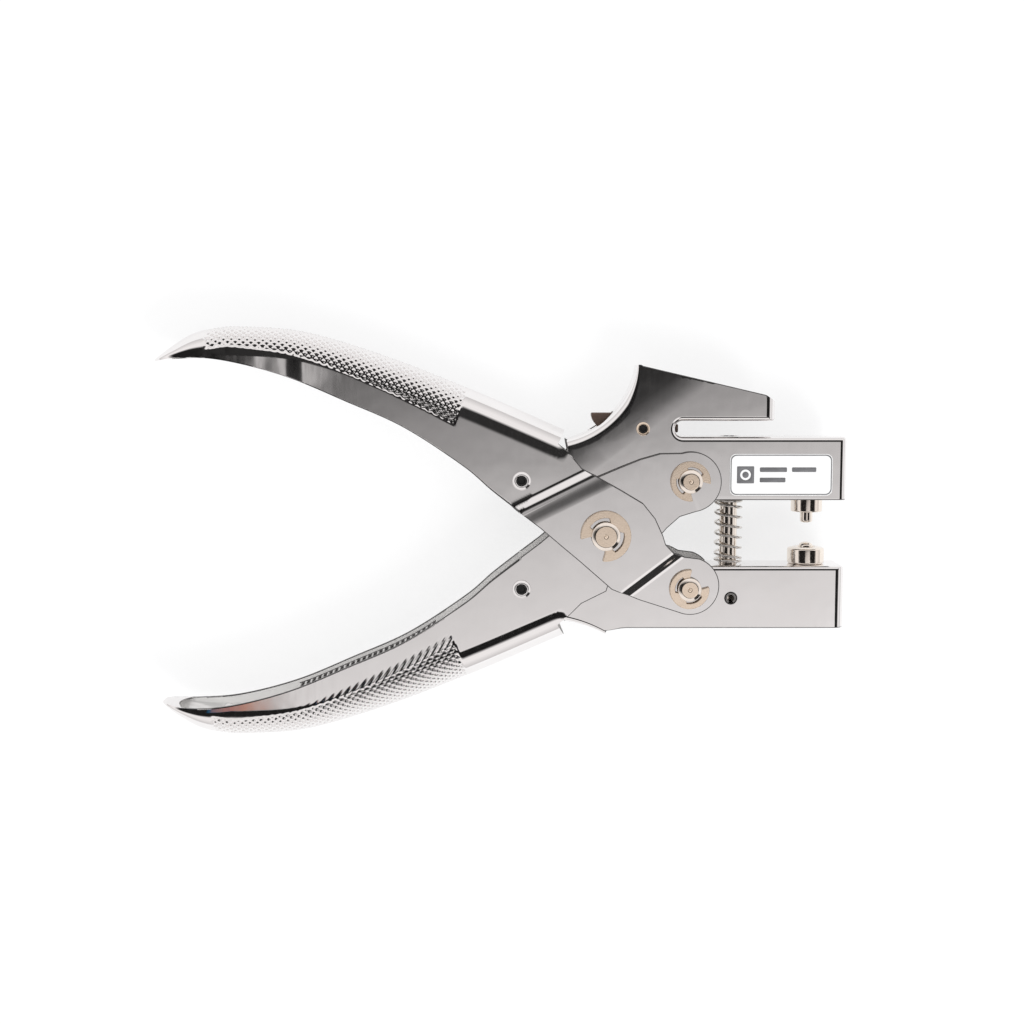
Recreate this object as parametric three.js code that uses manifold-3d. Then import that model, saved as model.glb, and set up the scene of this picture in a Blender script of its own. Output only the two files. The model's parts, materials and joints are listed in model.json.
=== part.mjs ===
// Compound-leverage eyelet pliers: two crossing sheet-steel handles drive two
// channel-shaped jaws that stay parallel.  A guide post in the lower jaw punches
// the hole in the slot of the upper jaw, and a die and an anvil at the nose close
// the eyelet.  The tool lies on its side: +X is forward to the nose, +Y is the way
// the jaws open, +Z is across the sheet-steel cheeks.  All sizes are millimetres.

import * as THREE from 'three';
import { mergeVertices } from 'three/addons/utils/BufferGeometryUtils.js';
import Module from 'manifold-3d';

const wasm = await Module();
wasm.setup();

// ---------------------------------------------------------------- dimensions

// Pivots, measured from the main pivot.
const JAW_PIVOT_X = 23.7;
const JAW_PIVOT_Y = 15.2;

// Layers of sheet steel from the mid plane outwards.
const SHEET = 1.2;
const GAP = 0.3;
const JAW_HALF = 7.0;
const JAW_INNER = JAW_HALF - SHEET;
const HANDLE_INNER = JAW_HALF + GAP;
const HANDLE_HALF = HANDLE_INNER + SHEET;
const RAISED_INNER = HANDLE_HALF + GAP;
const RAISED_HALF = RAISED_INNER + SHEET;

// Overall reach of the tool along X.
const NOSE_X = 67.9;
const TIP_X = -127.2;

// Jaws.
const ARM_OPEN_EDGE = 9.8;
const SLOT_LOW = 27.6;
const SLOT_HIGH = 32.0;
const SLOT_END_X = 19.5;
const WEDGE_NOSE_X = 47.7;
const LOWER_JAW_TOP = -8.9;
const LOWER_JAW_EDGE = -26.6;
const BLOCK_HALF = 5.4;

// Punch, dies and spring.
const POST_X = 35.7;
const POST_RADIUS = 2.5;
const POST_TOP = 27.2;
const POST_FOOT = -23.2;
const DIE_X = 58.0;
const ANVIL_TOP = -4.1;
const DIE_FACE = 6.0;
const SETTING_PIN_TIP = 2.9;
const NUB_TOP = -2.7;
const NUB_RADIUS = 2.1;
const SPRING_MEAN_RADIUS = 3.7;
const SPRING_WIRE_RADIUS = 0.35;

// Depth stop and the tubular pin that it slides on.
const STOP_PIN_X = 10.5;
const STOP_PIN_Y = 29.8;
const STOP_PIN_RADIUS = 1.6;
const STOP_TRAVEL = 4.5;
const STOP_HALF = 2.0;

// Pivot pins and fasteners.
const MAIN_PIN_RADIUS = 4.0;
const JAW_PIN_RADIUS = 3.3;
const MAIN_CLIP = { outer: 7.1, bore: 3.5, thick: 0.9 };
const JAW_CLIP = { outer: 5.6, bore: 2.7, thick: 0.7 };
const PIN_HEAD = 1.2;
const RIVET_X = -23.5;
const RIVET_Y = 15.3;
const ROLL_PIN_Y = -18.1;
const ROLL_PIN_RADIUS = 1.5;

const ROUND_SIDES = 18;

// ---------------------------------------------------------------- materials

function metal(color, roughness) {
  return new THREE.MeshStandardMaterial({ color, roughness, metalness: 1 });
}

const chrome = () => metal(0xd9d6d4, 0.12);
const nickel = () => metal(0xcfc4b4, 0.22);
const hardSteel = () => metal(0xa9a6a2, 0.32);
const springSteel = () => metal(0x8e8b88, 0.28);
const brownNylon = () => new THREE.MeshStandardMaterial({ color: 0x5a463c, roughness: 0.5, metalness: 0 });
const plateEnamel = () => new THREE.MeshStandardMaterial({ color: 0xe9e9e7, roughness: 0.4, metalness: 0 });

// ---------------------------------------------------------------- solid helpers

// Merges the shared corners of a closed mesh and drops triangles that have no area.
function toSolid(geometry) {
  const bare = geometry.index ? geometry.toNonIndexed() : geometry.clone();
  for (const name of ['normal', 'uv']) {
    if (bare.hasAttribute(name)) bare.deleteAttribute(name);
  }
  const merged = mergeVertices(bare, 1e-4);
  const corners = merged.index.array;
  const kept = [];
  for (let i = 0; i < corners.length; i += 3) {
    const [a, b, c] = [corners[i], corners[i + 1], corners[i + 2]];
    if (a !== b && b !== c && c !== a) kept.push(a, b, c);
  }
  return new wasm.Manifold(new wasm.Mesh({
    numProp: 3,
    vertProperties: new Float32Array(merged.attributes.position.array),
    triVerts: new Uint32Array(kept),
  }));
}

function toGeometry(solid) {
  const mesh = solid.getMesh();
  const geometry = new THREE.BufferGeometry();
  geometry.setAttribute('position', new THREE.BufferAttribute(mesh.vertProperties, 3));
  geometry.setIndex(new THREE.BufferAttribute(mesh.triVerts, 1));
  geometry.computeVertexNormals();
  return geometry;
}

function join(first, ...rest) {
  return rest.reduce((sum, next) => sum.add(next), first);
}

function cut(first, ...rest) {
  return rest.reduce((sum, next) => sum.subtract(next), first);
}

// An outline in the XY plane, extruded from low to high along Z.
function prism(points, low, high) {
  const shape = new THREE.Shape(points.map(([x, y]) => new THREE.Vector2(x, y)));
  const geometry = new THREE.ExtrudeGeometry(shape, { depth: high - low, bevelEnabled: false });
  return toSolid(geometry.translate(0, 0, low));
}

// The same outline on both sides of the mid plane.
function prismPair(points, inner, outer) {
  return prism(points, inner, outer).add(prism(points, -outer, -inner));
}

function box(x0, x1, y0, y1, halfZ) {
  const geometry = new THREE.BoxGeometry(x1 - x0, y1 - y0, 2 * halfZ);
  return toSolid(geometry.translate((x0 + x1) / 2, (y0 + y1) / 2, 0));
}

// A round bar along Z.
function bar(x, y, radius, low, high) {
  const geometry = new THREE.CylinderGeometry(radius, radius, high - low, ROUND_SIDES);
  return toSolid(geometry.rotateX(Math.PI / 2).translate(x, y, (low + high) / 2));
}

// A round bar along Y on the mid plane.
function column(x, radius, low, high) {
  const geometry = new THREE.CylinderGeometry(radius, radius, high - low, ROUND_SIDES);
  return toSolid(geometry.translate(x, (low + high) / 2, 0));
}

// A turned piece: the profile holds [radius, height] pairs going up its outside.
function turned(profile) {
  const points = profile.map(([radius, height]) => new THREE.Vector2(radius, height));
  return new THREE.LatheGeometry(points, ROUND_SIDES);
}

function turnedAlongY(x, profile) {
  return toSolid(turned(profile).translate(x, 0, 0));
}

function turnedAlongZ(x, y, profile) {
  return toSolid(turned(profile).rotateX(Math.PI / 2).translate(x, y, 0));
}

// ---------------------------------------------------------------- outline helpers

// Points of the circular arc that runs from a through b to c.
function arcThrough(a, b, c, steps) {
  const [ax, ay] = a;
  const [bx, by] = b;
  const [cx, cy] = c;
  const d = 2 * (ax * (by - cy) + bx * (cy - ay) + cx * (ay - by));
  const [a2, b2, c2] = [ax * ax + ay * ay, bx * bx + by * by, cx * cx + cy * cy];
  const ox = (a2 * (by - cy) + b2 * (cy - ay) + c2 * (ay - by)) / d;
  const oy = (a2 * (cx - bx) + b2 * (ax - cx) + c2 * (bx - ax)) / d;
  const radius = Math.hypot(ax - ox, ay - oy);
  const start = Math.atan2(ay - oy, ax - ox);
  const turn = 2 * Math.PI;
  const left = (to) => (((to - start) % turn) + turn) % turn;
  const toEnd = left(Math.atan2(cy - oy, cx - ox));
  const viaMiddle = left(Math.atan2(by - oy, bx - ox));
  const sweep = viaMiddle < toEnd ? toEnd : toEnd - turn;
  return arc(ox, oy, radius, start, start + sweep, steps);
}

function arc(ox, oy, radius, start, end, steps) {
  return Array.from({ length: steps + 1 }, (_, i) => {
    const angle = start + ((end - start) * i) / steps;
    return [ox + radius * Math.cos(angle), oy + radius * Math.sin(angle)];
  });
}

const degrees = (angle) => (angle * Math.PI) / 180;

// A strip of even thickness on the left-hand side of a path.
function strip(path, thickness) {
  const offset = path.map(([x, y], i) => {
    const [px, py] = path[Math.max(i - 1, 0)];
    const [nx, ny] = path[Math.min(i + 1, path.length - 1)];
    const into = new THREE.Vector2(x - px, y - py).normalize();
    const out = new THREE.Vector2(nx - x, ny - y).normalize();
    const along = into.clone().add(out).normalize();
    const side = into.lengthSq() > 0 ? into : out;
    const miter = thickness / Math.max(along.dot(side), 0.5);
    return [x - along.y * miter, y + along.x * miter];
  });
  return [...path, ...offset.reverse()];
}

// A long quadrilateral beside the line from p to q, between two distances to its left.
function band(p, q, near, far) {
  const reach = 140;
  const along = new THREE.Vector2(q[0] - p[0], q[1] - p[1]).normalize();
  const corner = (distance, way) => [
    p[0] - along.y * distance + along.x * way * reach,
    p[1] + along.x * distance + along.y * way * reach,
  ];
  return [corner(near, -1), corner(near, 1), corner(far, 1), corner(far, -1)];
}

// ---------------------------------------------------------------- jaws

// The web at the back of the wedge is hollowed to a round.
const wedgeBack = arcThrough([-11.2, 26.8], [0.4, 32.6], [9.1, 47.7], 12);
const slotMiddle = (SLOT_LOW + SLOT_HIGH) / 2;
const slotRadius = (SLOT_HIGH - SLOT_LOW) / 2;
const slotEndCentre = SLOT_END_X + slotRadius;
const slotEnd = arc(slotEndCentre, slotMiddle, slotRadius, degrees(90), degrees(270), 8);
const upperFront = [
  [45.2, 39.2], [WEDGE_NOSE_X, 37.4], [WEDGE_NOSE_X, SLOT_HIGH],
  ...slotEnd,
  [NOSE_X, SLOT_LOW], [NOSE_X, ARM_OPEN_EDGE],
];

function makeUpperJawFrame() {
  const cheek = [...wedgeBack, ...upperFront, [4, ARM_OPEN_EDGE], [-11.2, 20.5]];
  const cheeks = prismPair(cheek, JAW_INNER, JAW_HALF);
  const backWeb = prism(strip([...wedgeBack].reverse(), SHEET), -JAW_HALF, JAW_HALF);
  const frontWeb = prism(strip([...upperFront].reverse(), SHEET), -JAW_HALF, JAW_HALF);
  const tabWindow = box(-8, 8, 29.2, 34.5, STOP_HALF + GAP);
  const noseWindow = box(17, 21, STOP_PIN_Y - 1.5, STOP_PIN_Y + 1.5, STOP_HALF + GAP);
  return cut(
    join(cheeks, backWeb, frontWeb),
    tabWindow,
    noseWindow,
    bar(JAW_PIVOT_X, JAW_PIVOT_Y, JAW_PIN_RADIUS + GAP, -10, 10),
    bar(STOP_PIN_X, STOP_PIN_Y, STOP_PIN_RADIUS + GAP, -10, 10),
    column(POST_X, POST_RADIUS + GAP, SLOT_LOW - 3, SLOT_HIGH + 3),
  );
}

function makeLowerJawFrame() {
  const back = arcThrough([0.2, -28.4], [-6, -25.9], [-12.2, -24.6], 6);
  const front = [[8, LOWER_JAW_TOP], [NOSE_X, LOWER_JAW_TOP], [NOSE_X, LOWER_JAW_EDGE]];
  const cheek = [...front, [4.1, LOWER_JAW_EDGE], ...back, [-11.8, -20.2]];
  const backWeb = prism(strip([...back].reverse(), SHEET), -JAW_HALF, JAW_HALF);
  const frontWeb = prism(strip([...front].reverse(), SHEET), -JAW_HALF, JAW_HALF);
  return cut(
    join(prismPair(cheek, JAW_INNER, JAW_HALF), backWeb, frontWeb),
    bar(JAW_PIVOT_X, -JAW_PIVOT_Y, JAW_PIN_RADIUS + GAP, -10, 10),
    bar(POST_X, ROLL_PIN_Y, ROLL_PIN_RADIUS + GAP, -10, 10),
    column(POST_X, POST_RADIUS + GAP, LOWER_JAW_TOP - 3, LOWER_JAW_TOP + 3),
    column(DIE_X, 3.7, LOWER_JAW_TOP - 3, LOWER_JAW_TOP + 3),
  );
}

// Blocks that fill the channels where a post or a die is held.
const armBlockLow = ARM_OPEN_EDGE + 0.4;
const armBlockHigh = SLOT_LOW - SHEET - GAP;
const baseBlockHigh = LOWER_JAW_TOP - SHEET - GAP;
const baseBlockLow = -23.8;
const noseBlockEnd = NOSE_X - SHEET - GAP;

function makePostGuide() {
  const block = box(30.4, 41.0, armBlockLow, armBlockHigh, BLOCK_HALF);
  return cut(block, column(POST_X, POST_RADIUS + GAP, armBlockLow - 1, armBlockHigh + 1));
}

function makePunchDie() {
  const low = SLOT_HIGH + SHEET + GAP;
  const block = box(29.6, 41.8, low, 38.6, BLOCK_HALF);
  return cut(block, column(POST_X, POST_RADIUS + GAP, low - 1, 40));
}

function makeUpperDieBlock() {
  const block = box(49.8, noseBlockEnd, armBlockLow, armBlockHigh, BLOCK_HALF);
  return cut(block, column(DIE_X, 3.3, armBlockLow - 1, 21));
}

function makePostFootBlock() {
  const block = box(30.0, 41.4, baseBlockLow, baseBlockHigh, BLOCK_HALF);
  return cut(
    block,
    column(POST_X, POST_RADIUS + GAP, baseBlockLow - 1, baseBlockHigh + 1),
    bar(POST_X, ROLL_PIN_Y, ROLL_PIN_RADIUS + GAP, -8, 8),
  );
}

function makeAnvilBlock() {
  const block = box(49.8, noseBlockEnd, baseBlockLow, baseBlockHigh, BLOCK_HALF);
  return cut(block, column(DIE_X, 3.7, -21.4, baseBlockHigh + 1));
}

// ---------------------------------------------------------------- punch, dies, springs

// The post ends in a cupped cutting edge; its foot is cross-drilled for the roll pin.
function makeGuidePost() {
  const post = turnedAlongY(POST_X, [
    [0, POST_FOOT], [POST_RADIUS - 0.4, POST_FOOT], [POST_RADIUS, POST_FOOT + 0.4],
    [POST_RADIUS, POST_TOP], [POST_RADIUS - 0.3, POST_TOP], [0, POST_TOP - 1.6],
  ]);
  return cut(post, bar(POST_X, ROLL_PIN_Y, ROLL_PIN_RADIUS + GAP, -8, 8));
}

// A split roll pin, open along one side.
function makeRollPin() {
  const outer = arc(POST_X, ROLL_PIN_Y, ROLL_PIN_RADIUS, degrees(-65), degrees(245), 18);
  const inner = arc(POST_X, ROLL_PIN_Y, ROLL_PIN_RADIUS - 0.5, degrees(245), degrees(-65), 18);
  return prism([...outer, ...inner], -7.1, 7.1);
}

function makeUpperSettingDie() {
  return turnedAlongY(DIE_X, [
    [2.1, DIE_FACE], [4.1, DIE_FACE], [4.5, DIE_FACE + 0.4], [4.5, ARM_OPEN_EDGE],
    [3.0, ARM_OPEN_EDGE], [3.0, 20.6], [2.1, 20.6], [2.1, DIE_FACE],
  ]);
}

function makeSettingDiePin() {
  return turnedAlongY(DIE_X, [
    [0, SETTING_PIN_TIP], [1.4, SETTING_PIN_TIP], [1.8, SETTING_PIN_TIP + 0.4], [1.8, 20.2], [0, 20.2],
  ]);
}

const anvilSeat = LOWER_JAW_TOP + GAP;
const anvilBore = NUB_RADIUS + GAP;
const anvilFloor = -19.6;

function makeAnvil() {
  return turnedAlongY(DIE_X, [
    [0, -21.0], [3.4, -21.0], [3.4, anvilSeat], [5.3, anvilSeat], [5.3, ANVIL_TOP - 0.5],
    [4.8, ANVIL_TOP], [anvilBore, ANVIL_TOP], [anvilBore, anvilFloor], [0, anvilFloor],
  ]);
}

const nubFoot = -9.0;

function makeLocatingNub() {
  const dome = arc(0, NUB_TOP - NUB_RADIUS, NUB_RADIUS, degrees(35), degrees(90), 4);
  return turnedAlongY(DIE_X, [[0, nubFoot], [NUB_RADIUS, nubFoot], [NUB_RADIUS, dome[0][1]], ...dome]);
}

// Centre line of a compression spring along Y whose end turns lie almost closed.
class SpringLine extends THREE.Curve {
  constructor(x, radius, low, high, activeTurns, closedPitch) {
    super();
    Object.assign(this, { x, radius, low, high, activeTurns, closedPitch });
    this.turns = activeTurns + 2;
    this.openPitch = (high - low - 2 * closedPitch) / activeTurns;
  }

  getPoint(t, target = new THREE.Vector3()) {
    const turn = t * this.turns;
    const closed = Math.min(turn, 1) + Math.max(turn - this.turns + 1, 0);
    const height = this.low + closed * this.closedPitch + (turn - closed) * this.openPitch;
    const angle = 2 * Math.PI * turn;
    return target.set(this.x + this.radius * Math.cos(angle), height, this.radius * Math.sin(angle));
  }
}

function makeSpring(line, wireRadius, sides, stepsPerTurn) {
  const section = new THREE.Shape(
    arc(0, 0, wireRadius, 0, degrees(360 - 360 / sides), sides - 1).map(([x, y]) => new THREE.Vector2(x, y)),
  );
  const steps = Math.round(line.turns * stepsPerTurn);
  return toSolid(new THREE.ExtrudeGeometry(section, { steps, extrudePath: line, bevelEnabled: false }));
}

const returnSpringLine = new SpringLine(
  POST_X, SPRING_MEAN_RADIUS,
  LOWER_JAW_TOP + GAP + SPRING_WIRE_RADIUS, armBlockLow - GAP - SPRING_WIRE_RADIUS, 5.5, 0.85,
);
const nubSpringLine = new SpringLine(DIE_X, 1.5, anvilFloor + 0.6, nubFoot - 0.6, 6, 0.7);

// ---------------------------------------------------------------- handles

// The back and the open inner edge of the upper handle, from the tip to the pivots.
const handleBack = new THREE.SplineCurve([
  [TIP_X, 49.3], [-121.9, 53.2], [-116.4, 56.5], [-110.0, 58.2], [-102.4, 58.7], [-84.3, 57.0],
  [-60.5, 49.8], [-35.9, 40.1], [-11.3, 29.4],
].map(([x, y]) => new THREE.Vector2(x, y)));
const handleInside = new THREE.SplineCurve([
  [TIP_X + 0.4, 48.7], [-118, 49.7], [-105.7, 48.7], [-89.3, 44.4], [-72.9, 37.6], [-56.4, 30.2],
  [-40.0, 19.5], [-31.8, 12.5], [-23.6, 6.1],
].map(([x, y]) => new THREE.Vector2(x, y)));
const HANDLE_STATIONS = 18;
const NOSE_STATIONS = 3;
const TIP_TAPER = 0.13;
const TIP_HALF = 2.2;
const BACK_ARC_STEPS = 6;

// Half width of the handle at a station: it narrows to a beak at the tip.
function handleHalfWidth(t) {
  const fullness = Math.min(t / TIP_TAPER, 1);
  return TIP_HALF + (HANDLE_HALF - TIP_HALF) * Math.sqrt(fullness * (2 - fullness));
}

// Outer and inner skin of the U section at one station, as matching point lists.
function handleSection(t, side) {
  const back = handleBack.getPointAt(t);
  const inside = handleInside.getPointAt(t);
  const depth = back.distanceTo(inside);
  const way = inside.clone().sub(back).normalize();
  const half = handleHalfWidth(t);
  const round = Math.min(half, 0.85 * depth);
  const skin = Math.min(SHEET, 0.4 * round);
  const place = (down, across) => [back.x + way.x * down, side * (back.y + way.y * down), across];
  const outer = [place(depth, -half)];
  const inner = [place(depth, skin - half)];
  for (let i = 0; i <= BACK_ARC_STEPS; i += 1) {
    const angle = Math.PI * (i / BACK_ARC_STEPS - 0.5);
    const dip = 1 - Math.cos(angle);
    outer.push(place(round * dip, half * Math.sin(angle)));
    inner.push(place(skin + (round - skin) * dip, (half - skin) * Math.sin(angle)));
  }
  outer.push(place(depth, half));
  inner.push(place(depth, half - skin));
  return { outer, inner };
}

// Skins a closed tube through rings of points and closes its two ends.
function skinRings(rings, endTriangles, flip) {
  const count = rings[0].length;
  const index = [];
  const face = (a, b, c) => index.push(...(flip ? [a, c, b] : [a, b, c]));
  for (let r = 0; r + 1 < rings.length; r += 1) {
    for (let i = 0; i < count; i += 1) {
      const [a, b] = [r * count + i, r * count + ((i + 1) % count)];
      face(a, b, b + count);
      face(a, b + count, a + count);
    }
  }
  const last = (rings.length - 1) * count;
  for (const [a, b, c] of endTriangles) {
    face(a, c, b);
    face(last + a, last + b, last + c);
  }
  const geometry = new THREE.BufferGeometry();
  geometry.setAttribute('position', new THREE.Float32BufferAttribute(rings.flat(2), 3));
  geometry.setIndex(index);
  return toSolid(geometry);
}

// The rolled back and the cheeks of one handle, with a solid beak at its tip.
function makeHandleShell(side) {
  const sections = Array.from({ length: HANDLE_STATIONS + 1 }, (_, i) => handleSection(i / HANDLE_STATIONS, side));
  const rings = sections.map(({ outer, inner }) => [...outer, ...[...inner].reverse()]);
  const skinCount = sections[0].outer.length;
  const ends = [];
  for (let i = 0; i + 1 < skinCount; i += 1) {
    const [a, b] = [i, i + 1];
    const [c, d] = [2 * skinCount - 2 - i, 2 * skinCount - 1 - i];
    ends.push([a, b, c], [a, c, d]);
  }
  const shell = skinRings(rings, ends, side < 0);
  const fan = Array.from({ length: skinCount - 2 }, (_, i) => [0, i + 1, i + 2]);
  const beak = skinRings(sections.slice(0, NOSE_STATIONS).map(({ outer }) => outer), fan, side < 0);
  return shell.add(beak);
}

const BOSS_X = 24.0;
const BOSS_Y = 14.4;
const BOSS_RADIUS = 8.2;

// Cheek of the upper handle ahead of the grip: it steps outwards to pass over the
// lower handle and back inwards at the boss on the lower jaw's pivot.
const upperCheek = [
  [-26.7, 8.5], [-18.3, 2.1], [-7.1, -7.4], [1.8, -15.2], [9.7, -18.4],
  ...arc(BOSS_X, -BOSS_Y, BOSS_RADIUS, degrees(-112), degrees(72), 14),
  [22.4, -6.1], [19.2, -4.9], [16.9, -2.4], [16.1, 0.1], [13.9, 4.9], [10.5, 9.1],
  [-1.5, 16.1], [-6.6, 18.7], [-10.5, 23.4], [-13.2, 24.6], [-17, 21], [-24.6, 8.6],
];
const firstStep = { from: [-26.7, 8.5], to: [-6.6, 18.5], width: 2.4 };
const secondStep = { from: [3.4, -16.1], to: [19.0, -4.2], width: 3.4 };

function makeUpperHandle() {
  const { from: a, to: b } = firstStep;
  const { from: c, to: d } = secondStep;
  const far = 140;
  const lap = 0.1;
  const flat = prismPair(upperCheek, HANDLE_INNER, HANDLE_HALF);
  const slope = prismPair(upperCheek, HANDLE_INNER, RAISED_HALF);
  const raised = prismPair(upperCheek, RAISED_INNER, RAISED_HALF);
  const zone = (p, q, near, distance) => prism(band(p, q, near, distance), -12, 12);
  const grip = join(makeHandleShell(1), flat.intersect(zone(a, b, 0, far)));
  return cut(
    join(
      grip.intersect(zone(a, b, 0, far)),
      slope.intersect(zone(a, b, -firstStep.width - lap, lap)),
      raised.intersect(zone(a, b, -far, -firstStep.width)).intersect(zone(c, d, 0, far)),
      slope.intersect(zone(c, d, -secondStep.width - lap, lap)),
      flat.intersect(zone(c, d, -far, -secondStep.width)),
    ),
    bar(0, 0, MAIN_PIN_RADIUS + GAP, -12, 12),
    bar(JAW_PIVOT_X, -JAW_PIVOT_Y, JAW_PIN_RADIUS + GAP, -12, 12),
    bar(RIVET_X, RIVET_Y, 2.0 + GAP, -12, 12),
  );
}

// Cheek of the lower handle ahead of the grip: flat, with a neck round the main pivot
// that clears the steps of the upper handle as the tool closes.
const NECK_RADIUS = 12.9;
const lowerCheek = [
  [-26.7, -8.5], [-18.3, -2.1], [-7.1, 7.4], [-3.2, 16.1], [4.1, 19.2], [9.7, 21.4], [15.3, 23.0],
  ...arc(BOSS_X, BOSS_Y + 0.6, BOSS_RADIUS + 0.3, degrees(108), degrees(-80), 14),
  [20.9, 5.2], [17.3, 2.0], [15.2, -0.5],
  ...arc(0, 0, NECK_RADIUS, degrees(-12), degrees(-84), 8),
  [0.4, -15.9], [-6.6, -19.4], [-10.5, -23.4], [-13.2, -24.6], [-17, -21], [-24.6, -8.6],
];

function makeLowerHandle() {
  return cut(
    join(makeHandleShell(-1), prismPair(lowerCheek, HANDLE_INNER, HANDLE_HALF)),
    bar(0, 0, MAIN_PIN_RADIUS + GAP, -12, 12),
    bar(JAW_PIVOT_X, JAW_PIVOT_Y, JAW_PIN_RADIUS + GAP, -12, 12),
    bar(RIVET_X, -RIVET_Y, 2.0 + GAP, -12, 12),
  );
}

// ---------------------------------------------------------------- pins and fasteners

// A headed pin along Z whose grooved end carries a retaining clip.
function makePivotPin(x, y, radius, cheekHalf, clip) {
  const headTop = -cheekHalf - GAP;
  const headLow = headTop - PIN_HEAD;
  const grooveLow = cheekHalf + GAP;
  const grooveHigh = grooveLow + clip.thick + 2 * GAP;
  const end = grooveHigh + 0.9;
  return turnedAlongZ(x, y, [
    [0, headLow], [radius + 1.1, headLow], [radius + 1.5, headLow + 0.4], [radius + 1.5, headTop],
    [radius, headTop], [radius, grooveLow], [clip.bore - GAP, grooveLow], [clip.bore - GAP, grooveHigh],
    [radius, grooveHigh], [radius, end - 0.4], [radius - 0.4, end], [0.9, end], [0, end - 0.5],
  ]);
}

// An E-shaped clip: three lugs grip the groove, and the mouth faces the given angle.
function makeClip(x, y, cheekHalf, clip, mouth) {
  const at = (radius, from, to, steps) => arc(x, y, radius, degrees(mouth + from), degrees(mouth + to), steps);
  const relief = clip.bore + 0.45 * (clip.outer - clip.bore);
  const outline = [
    ...at(clip.outer, 38, 322, 26),
    ...at(clip.bore, 314, 292, 3),
    ...at(relief, 286, 212, 7),
    ...at(clip.bore, 202, 158, 5),
    ...at(relief, 148, 74, 7),
    ...at(clip.bore, 68, 46, 3),
  ];
  const low = cheekHalf + 2 * GAP;
  return prism(outline, low, low + clip.thick);
}

// A tubular rivet with a rolled flange outside each cheek.
function makeTubularRivet(x, y, bore, body, flange, cheekHalf) {
  const seat = cheekHalf + GAP;
  const rim = seat + 0.6;
  return turnedAlongZ(x, y, [
    [bore, -rim], [flange - 0.3, -rim], [flange, -seat - 0.3], [flange, -seat], [body, -seat],
    [body, seat], [flange, seat], [flange, seat + 0.3], [flange - 0.3, rim], [bore, rim], [bore, -rim],
  ]);
}

// ---------------------------------------------------------------- depth stop and plate

// A moulded slider: its tab sticks out of the hollow back and its nose limits how far
// the work goes into the slot.
function makeDepthStop() {
  const tabRound = arc(0.9, 34.2, 4.7, degrees(180), degrees(270), 8);
  const body = [
    ...tabRound, [1.6, 29.4], [2.2, 26.4], [13.5, 26.4], [13.5, 28.6], [20.9, 28.6], [20.9, 31.0],
    [13.5, 31.0], [13.5, 33.6], [5.2, 33.6], [5.2, 34.2],
  ];
  const half = STOP_PIN_RADIUS + GAP;
  const slot = [
    ...arc(STOP_PIN_X, STOP_PIN_Y, half, degrees(-90), degrees(90), 8),
    ...arc(STOP_PIN_X - STOP_TRAVEL, STOP_PIN_Y, half, degrees(90), degrees(270), 8),
  ];
  return cut(prism(body, -STOP_HALF, STOP_HALF), prism(slot, -STOP_HALF - 1, STOP_HALF + 1));
}

function makeNamePlate() {
  const [x0, x1, y0, y1, round] = [34.9, 63.7, 11.1, 22.8, 1.2];
  const corner = (x, y, start) => arc(x, y, round, degrees(start), degrees(start + 90), 4);
  const outline = [
    ...corner(x1 - round, y1 - round, 0), ...corner(x0 + round, y1 - round, 90),
    ...corner(x0 + round, y0 + round, 180), ...corner(x1 - round, y0 + round, 270),
  ];
  return prism(outline, JAW_HALF + GAP, JAW_HALF + GAP + 0.4);
}

// ---------------------------------------------------------------- assembly

const tool = new THREE.Group();

function place(name, solid, material) {
  const mesh = new THREE.Mesh(toGeometry(solid), material);
  mesh.name = name;
  tool.add(mesh);
}

place('lower_jaw_frame', makeLowerJawFrame(), chrome());
place('post_foot_block', makePostFootBlock(), hardSteel());
place('anvil_block', makeAnvilBlock(), hardSteel());
place('guide_post', makeGuidePost(), nickel());
place('post_roll_pin', makeRollPin(), hardSteel());
place('return_spring', makeSpring(returnSpringLine, SPRING_WIRE_RADIUS, 6, 12), springSteel());
place('anvil', makeAnvil(), nickel());
place('locating_nub', makeLocatingNub(), nickel());
place('nub_spring', makeSpring(nubSpringLine, 0.2, 5, 9), springSteel());

place('upper_jaw_frame', makeUpperJawFrame(), chrome());
place('post_guide', makePostGuide(), hardSteel());
place('punch_die', makePunchDie(), hardSteel());
place('upper_die_block', makeUpperDieBlock(), hardSteel());
place('upper_setting_die', makeUpperSettingDie(), nickel());
place('setting_die_pin', makeSettingDiePin(), nickel());
place('name_plate', makeNamePlate(), plateEnamel());
place('depth_stop', makeDepthStop(), brownNylon());
place('stop_pin', makeTubularRivet(STOP_PIN_X, STOP_PIN_Y, 1.1, STOP_PIN_RADIUS, 1.95, JAW_HALF), nickel());

place('upper_handle', makeUpperHandle(), chrome());
place('upper_handle_rivet', makeTubularRivet(RIVET_X, RIVET_Y, 1.35, 2.0, 2.7, HANDLE_HALF), nickel());
place('lower_handle', makeLowerHandle(), chrome());
place('lower_handle_rivet', makeTubularRivet(RIVET_X, -RIVET_Y, 1.35, 2.0, 2.7, HANDLE_HALF), nickel());

place('main_pivot_pin', makePivotPin(0, 0, MAIN_PIN_RADIUS, RAISED_HALF, MAIN_CLIP), nickel());
place('main_e_clip', makeClip(0, 0, RAISED_HALF, MAIN_CLIP, 225), nickel());
const jawPin = (side) => makePivotPin(JAW_PIVOT_X, side * JAW_PIVOT_Y, JAW_PIN_RADIUS, HANDLE_HALF, JAW_CLIP);
const jawClip = (side, mouth) => makeClip(JAW_PIVOT_X, side * JAW_PIVOT_Y, HANDLE_HALF, JAW_CLIP, mouth);
place('upper_jaw_pin', jawPin(1), nickel());
place('upper_jaw_e_clip', jawClip(1, -45), nickel());
place('lower_jaw_pin', jawPin(-1), nickel());
place('lower_jaw_e_clip', jawClip(-1, 45), nickel());

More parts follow.
